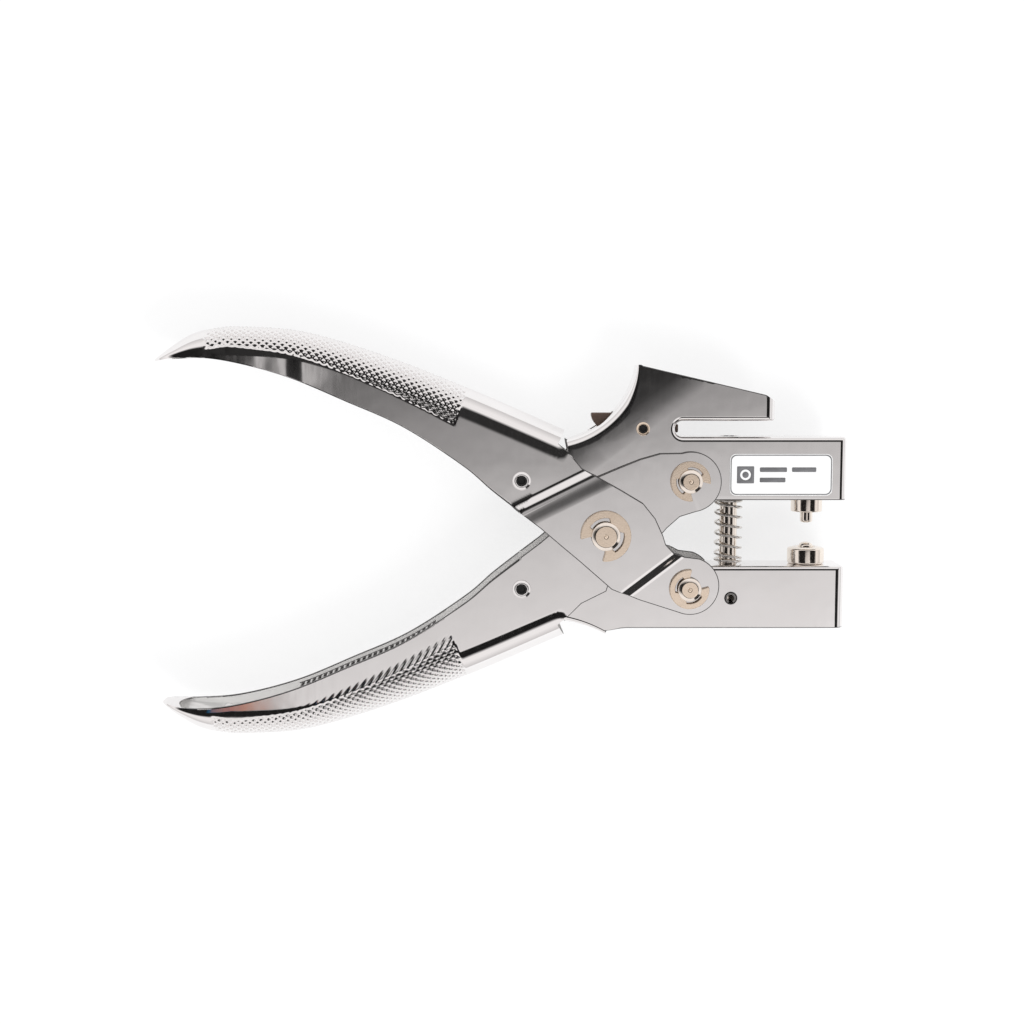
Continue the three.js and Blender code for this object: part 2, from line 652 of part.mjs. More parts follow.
// The origin is under the middle of the tool, on the surface that it lies on.
tool.position.set(-(NOSE_X + TIP_X) / 2, 0, RAISED_HALF + GAP + PIN_HEAD);

const scene = new THREE.Group();
scene.add(tool);
export default scene;
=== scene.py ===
"""Looks of the eyelet pliers: chrome-plated pressed steel, nickel-plated fittings.

Everything is built in the tool's own axes, in millimetres from the main pivot, and
placed in the row frame by `place`: +X to the nose, +Y the way the jaws open, +Z up
across the cheeks.
"""
import json
import math

import bmesh
import bpy
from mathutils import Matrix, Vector
from mathutils.geometry import delaunay_2d_cdt


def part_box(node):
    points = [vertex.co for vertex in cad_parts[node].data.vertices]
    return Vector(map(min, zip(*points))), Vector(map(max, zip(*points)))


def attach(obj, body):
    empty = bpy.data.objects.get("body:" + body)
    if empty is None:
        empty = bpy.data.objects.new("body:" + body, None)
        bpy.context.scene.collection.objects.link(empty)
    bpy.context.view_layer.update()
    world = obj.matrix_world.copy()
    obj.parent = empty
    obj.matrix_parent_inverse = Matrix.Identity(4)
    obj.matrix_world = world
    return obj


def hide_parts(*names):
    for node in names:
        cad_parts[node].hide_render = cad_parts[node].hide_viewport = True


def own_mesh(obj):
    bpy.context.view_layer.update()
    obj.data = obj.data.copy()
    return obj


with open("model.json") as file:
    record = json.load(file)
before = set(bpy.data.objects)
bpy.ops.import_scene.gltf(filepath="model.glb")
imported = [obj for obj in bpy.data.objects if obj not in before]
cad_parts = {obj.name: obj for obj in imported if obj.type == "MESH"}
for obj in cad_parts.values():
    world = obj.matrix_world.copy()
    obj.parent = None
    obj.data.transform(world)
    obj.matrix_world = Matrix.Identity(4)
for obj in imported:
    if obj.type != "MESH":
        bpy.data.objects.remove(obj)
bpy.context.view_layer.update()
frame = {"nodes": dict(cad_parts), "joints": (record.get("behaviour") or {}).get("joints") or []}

MM = 0.001

# ------------------------------------------------------------------ frame values


def joint(name):
    """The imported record's entry for one joint."""
    return next(entry for entry in frame["joints"] if entry["name"] == name)


MAIN_PIVOT = Vector(joint("main_pivot")["pos_m"])


def place(point):
    """A point in the tool's axes, in mm, as a point in the row frame, in metres."""
    x, y, z = point
    return Vector((MAIN_PIVOT.x + x * MM, MAIN_PIVOT.y + y * MM, MAIN_PIVOT.z + z * MM))


def tool_box(node):
    """A CAD node's lowest and highest corners in the tool's axes, in mm."""
    low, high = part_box(node)
    return (low - MAIN_PIVOT) / MM, (high - MAIN_PIVOT) / MM


def middle(node):
    """The centre of a CAD node in the tool's axes, in mm."""
    low, high = tool_box(node)
    return (low + high) / 2


UPPER_PIVOT = (Vector(joint("upper_jaw_pivot")["pos_m"]) - MAIN_PIVOT) / MM
LOWER_PIVOT = (Vector(joint("lower_jaw_pivot")["pos_m"]) - MAIN_PIVOT) / MM
JAW_HALF = tool_box("upper_jaw_frame")[1].z
HANDLE_HALF = tool_box("lower_handle")[1].z
RAISED_HALF = tool_box("upper_handle")[1].z
NOSE_X = tool_box("lower_jaw_frame")[1].x
TIP_X = tool_box("upper_handle")[0].x
SHEET = 1.2
MAIN_PIN_RADIUS = 4.0
JAW_PIN_RADIUS = 3.3
PIN_PLAY = 0.1
POST_X = middle("guide_post").x
DIE_X = middle("anvil").x

# ------------------------------------------------------------------ outline helpers


def arc(centre, radius, start, end, steps):
    """Points on a circle, with the angles in degrees."""
    angles = [math.radians(start + (end - start) * i / steps) for i in range(steps + 1)]
    return [(centre[0] + radius * math.cos(a), centre[1] + radius * math.sin(a)) for a in angles]


def arc_through(a, b, c, steps):
    """Points on the circular arc that runs from a through b to c."""
    (ax, ay), (bx, by), (cx, cy) = a, b, c
    d = 2 * (ax * (by - cy) + bx * (cy - ay) + cx * (ay - by))
    a2, b2, c2 = ax * ax + ay * ay, bx * bx + by * by, cx * cx + cy * cy
    ox = (a2 * (by - cy) + b2 * (cy - ay) + c2 * (ay - by)) / d
    oy = (a2 * (cx - bx) + b2 * (ax - cx) + c2 * (bx - ax)) / d
    start = math.degrees(math.atan2(ay - oy, ax - ox))
    to_end = (math.degrees(math.atan2(cy - oy, cx - ox)) - start) % 360
    to_middle = (math.degrees(math.atan2(by - oy, bx - ox)) - start) % 360
    sweep = to_end if to_middle < to_end else to_end - 360
    return arc((ox, oy), math.hypot(ax - ox, ay - oy), start, start + sweep, steps)


def loop_edges(first, count):
    """Pairs of neighbours round a closed ring of points."""
    return [(first + i, first + (i + 1) % count) for i in range(count)]


def inside(point, loop):
    """Whether a point lies inside a closed outline."""
    x, y = point
    found = False
    for (ax, ay), (bx, by) in zip(loop, loop[1:] + loop[:1]):
        if (ay > y) != (by > y) and x < (bx - ax) * (y - ay) / (by - ay) + ax:
            found = not found
    return found


def smooth(value):
    """A soft step from 0 to 1."""
    value = min(max(value, 0.0), 1.0)
    return value * value * (3 - 2 * value)


def pressed(value, bend=0.22):
    """A step pressed in sheet, from 0 to 1: a straight slope between two equal bends."""
    value = min(max(value, 0.0), 1.0)
    slope = 1 / (1 - bend)
    if value < bend:
        return slope * value * value / (2 * bend)
    if value > 1 - bend:
        return 1 - slope * (1 - value) ** 2 / (2 * bend)
    return slope * (value - bend / 2)


class Spline:
    """A Catmull-Rom curve through points, read by share of its length."""

    SAMPLES = 60

    def __init__(self, points):
        points = [Vector(p) for p in points]
        self.line = []
        for i in range(len(points) - 1):
            p0, p1 = points[max(i - 1, 0)], points[i]
            p2, p3 = points[i + 1], points[min(i + 2, len(points) - 1)]
            for s in range(self.SAMPLES):
                self.line.append(self._between(p0, p1, p2, p3, s / self.SAMPLES))
        self.line.append(points[-1])
        self.reach = [0.0]
        for a, b in zip(self.line, self.line[1:]):
            self.reach.append(self.reach[-1] + (b - a).length)
        self.length = self.reach[-1]

    @staticmethod
    def _between(p0, p1, p2, p3, t):
        v0, v1 = (p2 - p0) / 2, (p3 - p1) / 2
        cube, square = 2 * p1 - 2 * p2 + v0 + v1, 3 * p2 - 3 * p1 - 2 * v0 - v1
        return cube * t ** 3 + square * t ** 2 + v0 * t + p1

    def at(self, share):
        want = min(max(share, 0.0), 1.0) * self.length
        low, high = 0, len(self.reach) - 1
        while high - low > 1:
            mid = (low + high) // 2
            low, high = (mid, high) if self.reach[mid] <= want else (low, mid)
        span = self.reach[high] - self.reach[low]
        return self.line[low].lerp(self.line[high], (want - self.reach[low]) / span if span else 0)


# ------------------------------------------------------------------ mesh helpers


WELD = 0.004
RIM_ROUND = 0.26


class Surface:
    """Points and faces of a piece while it is put together, in the tool's axes."""

    def __init__(self):
        self.points = []
        self.faces = []
        self.plates = []

    def add(self, points, faces, flip=False, plate=False):
        """Adds points and faces; the coplanar faces of a plate are joined in the mesh."""
        base = len(self.points)
        self.points.extend(points)
        for face in faces:
            corners = [base + i for i in face]
            if plate:
                self.plates.append(len(self.faces))
            self.faces.append(corners[::-1] if flip else corners)

    def grid(self, rows, flip=False, closed=False):
        """Quads between rows of points of equal length."""
        width = len(rows[0])
        faces = []
        for r in range(len(rows) - 1):
            for i in range(width if closed else width - 1):
                a, b = r * width + i, r * width + (i + 1) % width
                faces.append((a, b, b + width, a + width))
        self.add([p for row in rows for p in row], faces, flip)

    def build(self, name):
        mesh = bpy.data.meshes.new(name)
        mesh.from_pydata([place(p) for p in self.points], [], self.faces)
        work = bmesh.new()
        work.from_mesh(mesh)
        work.faces.ensure_lookup_table()
        work.edges.index_update()
        flat = {edge for i in self.plates for edge in work.faces[i].edges}
        bmesh.ops.dissolve_limit(
            work, angle_limit=math.radians(0.05), verts=[],
            edges=sorted(flat, key=lambda edge: edge.index),
        )
        bmesh.ops.remove_doubles(work, verts=work.verts, dist=WELD * MM)
        bmesh.ops.dissolve_degenerate(work, edges=work.edges, dist=WELD * MM * 0.2)
        for face in work.faces:
            face.smooth = True
        work.to_mesh(mesh)
        work.free()
        piece = bpy.data.objects.new(name, mesh)
        bpy.context.scene.collection.objects.link(piece)
        return piece


def faces_outwards(piece):
    """Turns every face of a closed piece to face out."""
    work = bmesh.new()
    work.from_mesh(piece.data)
    bmesh.ops.recalc_face_normals(work, faces=work.faces)
    work.to_mesh(piece.data)
    work.free()


def soft_edges(piece, width, angle=35, segments=2):
    """Rounds the sharp edges and keeps the flats flat."""
    bevel = piece.modifiers.new("edge_round", "BEVEL")
    bevel.width = width * MM
    bevel.segments = segments
    bevel.limit_method = "ANGLE"
    bevel.angle_limit = math.radians(angle)
    bevel.use_clamp_overlap = False
    level_flats(piece)


def level_flats(piece):
    """Keeps the shading of large faces level beside small ones."""
    weighted = piece.modifiers.new("flat_normals", "WEIGHTED_NORMAL")
    weighted.mode = "FACE_AREA"
    weighted.weight = 80
    weighted.keep_sharp = True


def sheet_metal(piece, share=None):
    """Gives a pressed skin its sheet thickness inwards; share(point) thins it locally."""
    for material in PLATED_SHEET:
        piece.data.materials.append(material)
    solidify = piece.modifiers.new("sheet", "SOLIDIFY")
    solidify.thickness = SHEET * MM
    solidify.offset = -1
    # The rims take the dark edge material: partly the cut steel's tone, partly painted shade along the
    # sheet's edges.
    solidify.material_offset_rim = 1
    solidify.material_offset = 2
    solidify.rim_vertex_group = piece.vertex_groups.new(name="rim").name
    if share:
        group = piece.vertex_groups.new(name="thickness")
        for vertex in piece.data.vertices:
            group.add([vertex.index], share((vertex.co - MAIN_PIVOT) / MM), "REPLACE")
        solidify.vertex_group = group.name


def round_rims(piece, spared):
    """Rounds the cut edges of a sheet, except within the spared (x, y, reach) circles."""
    group = piece.vertex_groups["rim"].index
    work = bmesh.new()
    work.from_mesh(piece.data)
    weights = work.verts.layers.deform.verify()
    marks = work.edges.layers.float.new("bevel_weight_edge")
    for edge in work.edges:
        on_rim = all(group in vertex[weights] for vertex in edge.verts)
        sharp = 50 < math.degrees(edge.calc_face_angle(0)) < 130
        centre = ((edge.verts[0].co + edge.verts[1].co) / 2 - MAIN_PIVOT) / MM
        clear = all((centre.xy - Vector((x, y))).length > reach for x, y, reach in spared)
        edge[marks] = 1.0 if on_rim and sharp and clear else 0.0
        edge.smooth = not (on_rim and sharp) or clear
    work.to_mesh(piece.data)
    work.free()
    bevel = piece.modifiers.new("edge_round", "BEVEL")
    bevel.width = RIM_ROUND * MM
    bevel.segments = 2
    bevel.limit_method = "WEIGHT"
    bevel.use_clamp_overlap = False
    # The rounded rims take the dark edge material too: partly the cut steel's tone, partly painted
    # shade.
    bevel.material = 1
    level_flats(piece)


def apply_modifiers(piece):
    depsgraph = bpy.context.evaluated_depsgraph_get()
    depsgraph.update()
    mesh = bpy.data.meshes.new_from_object(piece.evaluated_get(depsgraph))
    piece.modifiers.clear()
    piece.data = mesh


def bore_out(piece, cutters):
    """Cuts solids out of a piece and removes the cutters."""
    for cutter in cutters:
        faces_outwards(cutter)
        cut = piece.modifiers.new("cut", "BOOLEAN")
        cut.operation = "DIFFERENCE"
        cut.solver = "EXACT"
        cut.object = cutter
    apply_modifiers(piece)
    for cutter in cutters:
        bpy.data.objects.remove(cutter)


def paint(piece, index, chosen):
    """Gives a material index to the faces whose centres, in the tool's axes, are chosen."""
    for face in piece.data.polygons:
        if chosen((face.center - MAIN_PIVOT) / MM):
            face.material_index = index


def finish_piece(piece, materials, body, slot, *nodes):
    """Gives a piece its materials and its body, and hides the CAD nodes it stands for; slot is not used.
    """
    for material in materials:
        piece.data.materials.append(material)
    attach(piece, body)
    if nodes:
        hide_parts(*nodes)
    return piece


def prism(name, outline, low, high, holes=()):
    """A flat plate of an outline, from low to high along Z."""
    points, triangles = fill(outline, holes)
    surface = Surface()
    surface.add([(x, y, high) for x, y in points], triangles, plate=True)
    surface.add([(x, y, low) for x, y in points], triangles, flip=True, plate=True)
    for ring in (outline, *holes):
        rows = [[(x, y, z) for x, y in ring] for z in (low, high)]
        surface.grid(rows, closed=True)
    piece = surface.build(name)
    faces_outwards(piece)
    return piece


def box(name, low, high):
    outline = [(low[0], low[1]), (high[0], low[1]), (high[0], high[1]), (low[0], high[1])]
    return prism(name, outline, low[2], high[2])


# Twice the area, in square mm, under which a triangle is left out.
SLIVER = 1e-5


def fill(outline, holes=(), lines=(), net=()):
    """Triangles that fill an outline with holes, cut along lines and at the net's points."""
    points = [Vector(p) for p in outline]
    edges = loop_edges(0, len(outline))
    for hole in holes:
        edges += loop_edges(len(points), len(hole))
        points += [Vector(p) for p in hole]
    for a, b in lines:
        edges.append((len(points), len(points) + 1))
        points += [Vector(a), Vector(b)]
    points += [Vector(p) for p in net]
    found, _, faces, *_ = delaunay_2d_cdt(points, edges, [], 0, 1e-6)
    kept = []
    for face in faces:
        a, b, c = (found[i] for i in face)
        if abs((b - a).cross(c - a)) < SLIVER:
            continue
        centre = (a + b + c) / 3
        if inside(centre, list(outline)) and not any(inside(centre, list(h)) for h in holes):
            kept.append(list(face))
    return [tuple(p) for p in found], kept


def turned(name, profile, origin, axis, segments=72):
    """A turned piece: (radius, height) pairs round the axis "Y" or "Z" through origin."""
    rings = []
    for i in range(segments):
        angle = 2 * math.pi * i / segments
        c, s = math.cos(angle), math.sin(angle)
        if axis == "Y":
            rings.append([(origin[0] + r * c, origin[1] + h, origin[2] + r * s) for r, h in profile])
        else:
            rings.append([(origin[0] + r * c, origin[1] + r * s, origin[2] + h) for r, h in profile])
    surface = Surface()
    surface.grid(rings + rings[:1])
    piece = surface.build(name)
    faces_outwards(piece)
    return piece


def refined(node, width):
    """A copy of a CAD node with its coplanar faces joined and its edges rounded."""
    work = bmesh.new()
    work.from_mesh(frame["nodes"][node].data)
    bmesh.ops.remove_doubles(work, verts=work.verts, dist=1e-7)
    bmesh.ops.dissolve_limit(
        work, angle_limit=math.radians(0.5), verts=work.verts, edges=work.edges,
    )
    for face in work.faces:
        face.smooth = True
    mesh = bpy.data.meshes.new(node + "_fine")
    work.to_mesh(mesh)
    work.free()
    piece = bpy.data.objects.new(node + "_fine", mesh)
    bpy.context.scene.collection.objects.link(piece)
    soft_edges(piece, width)
    return piece


# ------------------------------------------------------------------ materials


class Shader:
    """A Principled material with room for procedural detail."""

    def __init__(self, name, **sockets):
        self.material = bpy.data.materials.new(name)
        self.material.use_nodes = True
        self.tree = self.material.node_tree
        self.surface = self.tree.nodes["Principled BSDF"]
        for socket, value in sockets.items():
            self.surface.inputs[socket.replace("_", " ")].default_value = value
        self.place = self.node("ShaderNodeTexCoord").outputs["Object"]

    def node(self, kind, **values):
        made = self.tree.nodes.new(kind)
        for key, value in values.items():
            if hasattr(made, key):
                setattr(made, key, value)
            else:
                made.inputs[key.replace("_", " ")].default_value = value
        return made

    def link(self, source, target):
        self.tree.links.new(source, target)

    def noise(self, scale, detail=3.0, stretch=(1, 1, 1)):
        """Noise over the piece, with its scale in features per metre."""
        mapping = self.node("ShaderNodeMapping")
        mapping.inputs["Scale"].default_value = stretch
        self.link(self.place, mapping.inputs["Vector"])
        noise = self.node("ShaderNodeTexNoise", Scale=scale, Detail=detail)
        self.link(mapping.outputs["Vector"], noise.inputs["Vector"])
        return noise.outputs["Fac"]

    def spread(self, source, low, high, socket):
        """Drives a socket between two values by a noise."""
        ramp = self.node("ShaderNodeMapRange")
        ramp.inputs["From Min"].default_value = 0.3
        ramp.inputs["From Max"].default_value = 0.7
        ramp.inputs["To Min"].default_value = low
        ramp.inputs["To Max"].default_value = high
        self.link(source, ramp.inputs["Value"])
        self.link(ramp.outputs["Result"], self.surface.inputs[socket])

    def tint(self, source, dark, light):
        """Mottles the base colour between two colours."""
        mix = self.node("ShaderNodeMix", data_type="RGBA")
        colour_inputs = [i for i in mix.inputs if i.type == "RGBA"]
        for socket, colour in zip(colour_inputs, (dark, light)):
            socket.default_value = (*colour, 1)
        self.link(source, mix.inputs[0])
        colour = next(o for o in mix.outputs if o.type == "RGBA")
        self.link(colour, self.surface.inputs["Base Color"])

    def bump(self, source, height):
        """Raises the shading by a noise; the height is in mm."""
        bump = self.node("ShaderNodeBump", Distance=height * MM)
        self.link(source, bump.inputs["Height"])
        self.link(bump.outputs["Normal"], self.surface.inputs["Normal"])


def make_material(name, metallic, tint, roughness, bump=None):
    """A mottled surface; each part gives its noise's settings first and then its range.

    tint is (noise, dark, light), roughness is (noise, low, high), bump is (noise, mm).
    """
    shader = Shader(name, Metallic=metallic)
    shader.tint(shader.noise(*tint[0]), *tint[1:])
    shader.spread(shader.noise(*roughness[0]), *roughness[1:], "Roughness")
    if bump:
        shader.bump(shader.noise(*bump[0]), bump[1])
    return shader.material


def make_floor_paint():
    """A matt white table that glows a little, so that the shadows stay faint."""
    shader = Shader("floor_paint", Metallic=0.0, Emission_Strength=0.68, Specular_IOR_Level=0.0)
    shader.surface.inputs["Emission Color"].default_value = (1, 1, 1, 1)
    shader.tint(shader.noise(6, 2), (0.31, 0.31, 0.315), (0.33, 0.33, 0.33))
    shader.spread(shader.noise(30, 2), 0.8, 0.9, "Roughness")
    return shader.material


# Bright plate over pressed steel, with a faint wave and fine wipe marks.
CHROME = make_material(
    "chrome_plate", 1.0, ((90, 2), (0.82, 0.80, 0.795), (0.88, 0.862, 0.858)),
    ((700, 4, (1, 0.15, 1)), 0.035, 0.095), ((160, 1), 0.02),
)
# The sheared edges of the sheet and their rounding, darker and rougher than its faces: partly the tone
# of cut steel, partly painted shade that stands in for the contact shadow along the rims.
CUT_EDGE_AND_SHADE = make_material(
    "cut_edge_and_shade", 1.0, ((900, 3), (0.10, 0.10, 0.10), (0.22, 0.21, 0.21)),
    ((1500, 3, (1, 1, 0.2)), 0.38, 0.55), ((3000, 3, (1, 1, 0.1)), 0.01),
)
# The inside of the channels, where the plate is duller.
INNER_PLATE = make_material(
    "inner_plate", 0.25, ((200, 3), (0.84, 0.83, 0.82), (0.92, 0.91, 0.90)),
    ((500, 3), 0.16, 0.26), ((1500, 2), 0.01),
)
PLATED_SHEET = [CHROME, CUT_EDGE_AND_SHADE, INNER_PLATE]
# Warm plate on the clips and the ends of the pins.
NICKEL = make_material(
    "nickel_plate", 1.0, ((400, 3), (0.88, 0.72, 0.57), (0.96, 0.81, 0.67)),
    ((1500, 4, (1, 1, 0.2)), 0.07, 0.16), ((2500, 2), 0.01),
)
# Paler plate on the turned fittings.
BRIGHT_NICKEL = make_material(
    "bright_nickel", 1.0, ((400, 3), (0.82, 0.74, 0.66), (0.91, 0.84, 0.77)),
    ((1200, 4), 0.06, 0.14), ((2000, 2), 0.008),
)
# Painted shade: a near-black for the inside of a tubular rivet, which stands in for the shade down its
# bore.
PAINTED_BORE_SHADE = make_material(
    "painted_bore_shade", 0.6, ((900, 3), (0.012, 0.012, 0.013), (0.03, 0.029, 0.028)),
    ((1500, 3), 0.22, 0.36),
)
# Machined blocks and pins, with fine cutter marks.
TOOL_STEEL = make_material(
    "hard_steel", 1.0, ((500, 4), (0.34, 0.33, 0.32), (0.52, 0.50, 0.49)),
    ((900, 5, (1, 8, 1)), 0.28, 0.46), ((1400, 2, (1, 10, 1)), 0.015),
)
SPRING_WIRE = make_material(
    "spring_steel", 1.0, ((800, 2), (0.66, 0.63, 0.60), (0.80, 0.77, 0.74)),
    ((2000, 3), 0.08, 0.16),
)
NYLON = make_material(
    "brown_nylon", 0.0, ((600, 4), (0.075, 0.045, 0.032), (0.12, 0.075, 0.055)),
    ((900, 3), 0.38, 0.55), ((3500, 2), 0.02),
)
PLATE_WHITE, PLATE_INK = (
    make_material(name, 0.0, ((300, 3), *tones), ((800, 3), 0.28, 0.4), ((2500, 2), 0.004))
    for name, tones in (
        ("plate_white", ((0.80, 0.80, 0.80), (0.86, 0.86, 0.86))),
        ("plate_ink", ((0.13, 0.13, 0.135), (0.19, 0.19, 0.2))),
    )
)

# ------------------------------------------------------------------ handles

HANDLE_BACK = Spline([
    (TIP_X + 0.02, 49.3), (-121.9, 53.2), (-116.4, 56.5), (-110.0, 58.15), (-102.4, 58.62),
    (-84.3, 57.0), (-60.5, 49.8), (-35.9, 40.1), (-11.3, 29.4),
])
HANDLE_INSIDE = Spline([
    (TIP_X + 0.4, 48.7), (-118, 49.7), (-105.7, 48.7), (-89.3, 44.4), (-72.9, 37.6),
    (-56.4, 30.2), (-40.0, 19.5), (-31.8, 12.5), (-23.6, 6.1),
])
TIP_TAPER = 0.13
TIP_HALF = 1.6
BEAK_SHARE = 0.06
KNURL_FROM_X = -113.0
KNURL_TO_X = -38.3
KNURL_PITCH = 1.4
KNURL_ANGLE = 38.0
KNURL_DEPTH = 0.40
KNURL_STEP = 0.27
# The knurl's reach round the back on each side at its first section, and its gain to the last.
KNURL_REACH, KNURL_REACH_GAIN = 10.2, 5.8
KNURL_RUN_OUT = 3.5
DENT_DEPTH, DENT_BOTTOM, DENT_FRONT, DENT_BACK = 0.12, -89.4, 5.6, 8.6
ARC_STEPS = 96
FLAT_FINE = 6.5
FLAT_FINE_STEPS = 22
FLAT_COARSE_STEPS = 16


def handle_half(share):
    """Half width of the handle: it narrows to a beak at the tip."""
    fullness = min(share / TIP_TAPER, 1.0)
    return TIP_HALF + (HANDLE_HALF - TIP_HALF) * math.sqrt(fullness * (2 - fullness))


def back_share(x):
    """The share of the handle's length at which its back passes x."""
    low, high = 0.0, 1.0
    for _ in range(40):
        mid = (low + high) / 2
        low, high = (mid, high) if HANDLE_BACK.at(mid).x < x else (low, mid)
    return low


KNURL_FROM, KNURL_TO = back_share(KNURL_FROM_X), back_share(KNURL_TO_X)


def knurl(along, across, share, run_out):
    """Height of the diamond knurl at a place on the rolled back, 0 or less.

    Where run_out is above 0, one family of cuts runs out on to the flats as thin scratches.
    """
    run = (share - KNURL_FROM) / (KNURL_TO - KNURL_FROM)
    reach = KNURL_REACH + KNURL_REACH_GAIN * min(max(run, 0.0), 1.0)
    ends = smooth(run * 40) * smooth((1 - run) * 90)
    if ends <= 0 or abs(across) > reach + run_out:
        return 0.0
    slope = math.radians(KNURL_ANGLE)
    u, v = along * math.sin(slope) / KNURL_PITCH, abs(across) * math.cos(slope) / KNURL_PITCH
    cuts = [abs(2 * (phase % 1) - 1) for phase in (u + v, u - v)]
    cover = smooth((reach - abs(across)) / 0.7)
    fade = smooth((reach + run_out * run - abs(across)) / 2.5) if run_out else 0.0
    thin = 0.6 * max(0.0, 3 * cuts[1] - 2) * fade
    return -KNURL_DEPTH * ends * max(cover * max(cuts), thin)


def dent(x):
    """Rise of the upper handle's cheeks where pressing left a shallow dent by the tip."""
    ahead = smooth((x - DENT_BOTTOM) / DENT_FRONT)
    behind = smooth((x - DENT_BOTTOM) / DENT_BACK + 1)
    return DENT_DEPTH * (ahead - behind)


def handle_row(share, side):
    """One section of a handle's outer skin, from the near inner edge round the back."""
    back, inner = HANDLE_BACK.at(share), HANDLE_INSIDE.at(share)
    depth = (inner - back).length
    way = (inner - back).normalized()
    half = handle_half(share)
    roll = min(half, 0.85 * depth)
    along = share * HANDLE_BACK.length
    flat = depth - roll
    fine = min(FLAT_FINE, 0.6 * flat)
    downs = [fine + (flat - fine) * (1 - i / FLAT_COARSE_STEPS) for i in range(FLAT_COARSE_STEPS)]
    downs += [fine * (1 - i / FLAT_FINE_STEPS) for i in range(FLAT_FINE_STEPS)]
    quarter = math.pi / 2 * roll
    row = []

    def put(down, z, out_down, out_z, across):
        lift = knurl(along, across, share, KNURL_RUN_OUT if side < 0 else 0)
        down, z = down + out_down * lift, z + out_z * lift
        if side > 0:
            z += out_z * dent(back.x + way.x * down)
        row.append((back.x + way.x * down, side * (back.y + way.y * down), z))

    for down in downs:
        put(roll + down, half, 0, 1, quarter + down)
    for i in range(ARC_STEPS + 1):
        angle = math.pi * (0.5 - i / ARC_STEPS)
        out = Vector((-math.cos(angle) / roll, math.sin(angle) / half)).normalized()
        put(roll * (1 - math.cos(angle)), half * math.sin(angle), out.x, out.y, angle * roll)
    for down in reversed(downs):
        put(roll + down, -half, 0, -1, -quarter - down)
    return row


TIP_SECTIONS, TIP_CROWDING, END_SECTIONS = 44, 1.35, 60


def handle_shares():
    """Sections close together over the knurl, crowded to the tip and further apart behind."""
    shares = [KNURL_FROM * (i / TIP_SECTIONS) ** TIP_CROWDING for i in range(TIP_SECTIONS)]
    fine = round((KNURL_TO - KNURL_FROM) * HANDLE_BACK.length / KNURL_STEP)
    shares += [KNURL_FROM + (KNURL_TO - KNURL_FROM) * i / fine for i in range(fine)]
    shares += [KNURL_TO + (1 - KNURL_TO) * i / END_SECTIONS for i in range(END_SECTIONS + 1)]
    return shares


def add_handle_skin(surface, side):
    """The rolled back and cheeks, with a closed beak at the tip."""
    shares = handle_shares()
    rows = [handle_row(share, side) for share in shares]
    surface.grid(rows, flip=side > 0)
    beak = [share for share in shares if share <= BEAK_SHARE]
    across = 10
    lips = []
    for share in beak:
        lip = []
        for j in range(across + 1):
            q = 1 - 2 * j / across
            at = share * (1 - 0.35 * (1 - q * q))
            inner, half = HANDLE_INSIDE.at(at), handle_half(at)
            lip.append((inner.x, side * inner.y, q * half))
        lips.append(lip)
    surface.grid(lips, flip=side < 0)
    ring = rows[0]
    surface.add(ring, [tuple(range(len(ring)))], flip=side > 0)
    return rows[-1]


END_BACK, END_INSIDE = HANDLE_BACK.at(1), HANDLE_INSIDE.at(1)
END_WAY = (END_INSIDE - END_BACK).normalized()
END_RUN = Vector((-END_WAY.y, END_WAY.x))
END_CROSS_DEPTH = 4.2
ROLL_FADE = 4.0


def roll_drop(x, y):
    """How far the cheek has dropped below its flat where the rolled back begins."""
    away = Vector((x, y)) - END_BACK
    depth = max(away.dot(END_WAY), 0.0)
    if depth >= HANDLE_HALF:
        return 0.0
    left = 1 - smooth(away.dot(END_RUN) / ROLL_FADE)
    return left * (HANDLE_HALF - math.sqrt(HANDLE_HALF ** 2 - (HANDLE_HALF - depth) ** 2))


def roll_net(outline):
    """Points ahead of the rolled back's end, over which the cheek comes level."""
    found = []
    for depth in (4.8, 5.4, 6.0, 6.7, 7.5, HANDLE_HALF):
        for i in range(1, 10):
            point = END_BACK + END_WAY * depth + END_RUN * ROLL_FADE * i / 9
            if inside(point, outline) and min((point - Vector(p)).length for p in outline) > 0.3:
                found.append(point)
    return found


def line_offsets(start, end, first, last, steps):
    """Lines beside the one from start to end, first to last to its right."""
    a, b = Vector(start), Vector(end)
    along = (b - a).normalized()
    right = Vector((along.y, -along.x))
    shifts = [right * (first + (last - first) * i / steps) for i in range(steps + 1)]
    lines = []
    for shift in shifts:
        from_section = (a + shift - END_BACK).dot(END_RUN) / along.dot(END_RUN)
        lines.append((a + shift + along * max(-14, 0.5 - from_section), b + shift + along * 14))
    return lines


def right_of(point, start, end):
    """Distance of a point to the right of a line."""
    a, b = Vector(start), Vector(end)
    along = (b - a).normalized()
    return (Vector(point) - a).dot(Vector((along.y, -along.x)))


BOSS_X, BOSS_Y, BOSS_RADIUS = 24.0, 14.4, 8.2
FIRST_STEP = ((-26.7, 8.5), (-6.6, 18.5))
FIRST_STEP_WIDTH = 3.2
SWELL_FROM, SWELL_WIDTH, SWELL_RISE = 3.5, 4.6, 0.22
SECOND_STEP = ((3.4, -16.1), (19.0, -4.2))
SECOND_STEP_WIDTH = 3.8


def step_rise(x, y):
    """Rise of the upper handle's cheek: up over the lower handle and down again."""
    first, second = right_of((x, y), *FIRST_STEP), right_of((x, y), *SECOND_STEP)
    rise = RAISED_HALF - HANDLE_HALF
    up = (rise - SWELL_RISE) * pressed(first / FIRST_STEP_WIDTH)
    swell = SWELL_RISE * smooth((first - SWELL_FROM) / SWELL_WIDTH)
    down = rise * pressed(second / SECOND_STEP_WIDTH, 0.42)
    return up + swell - down


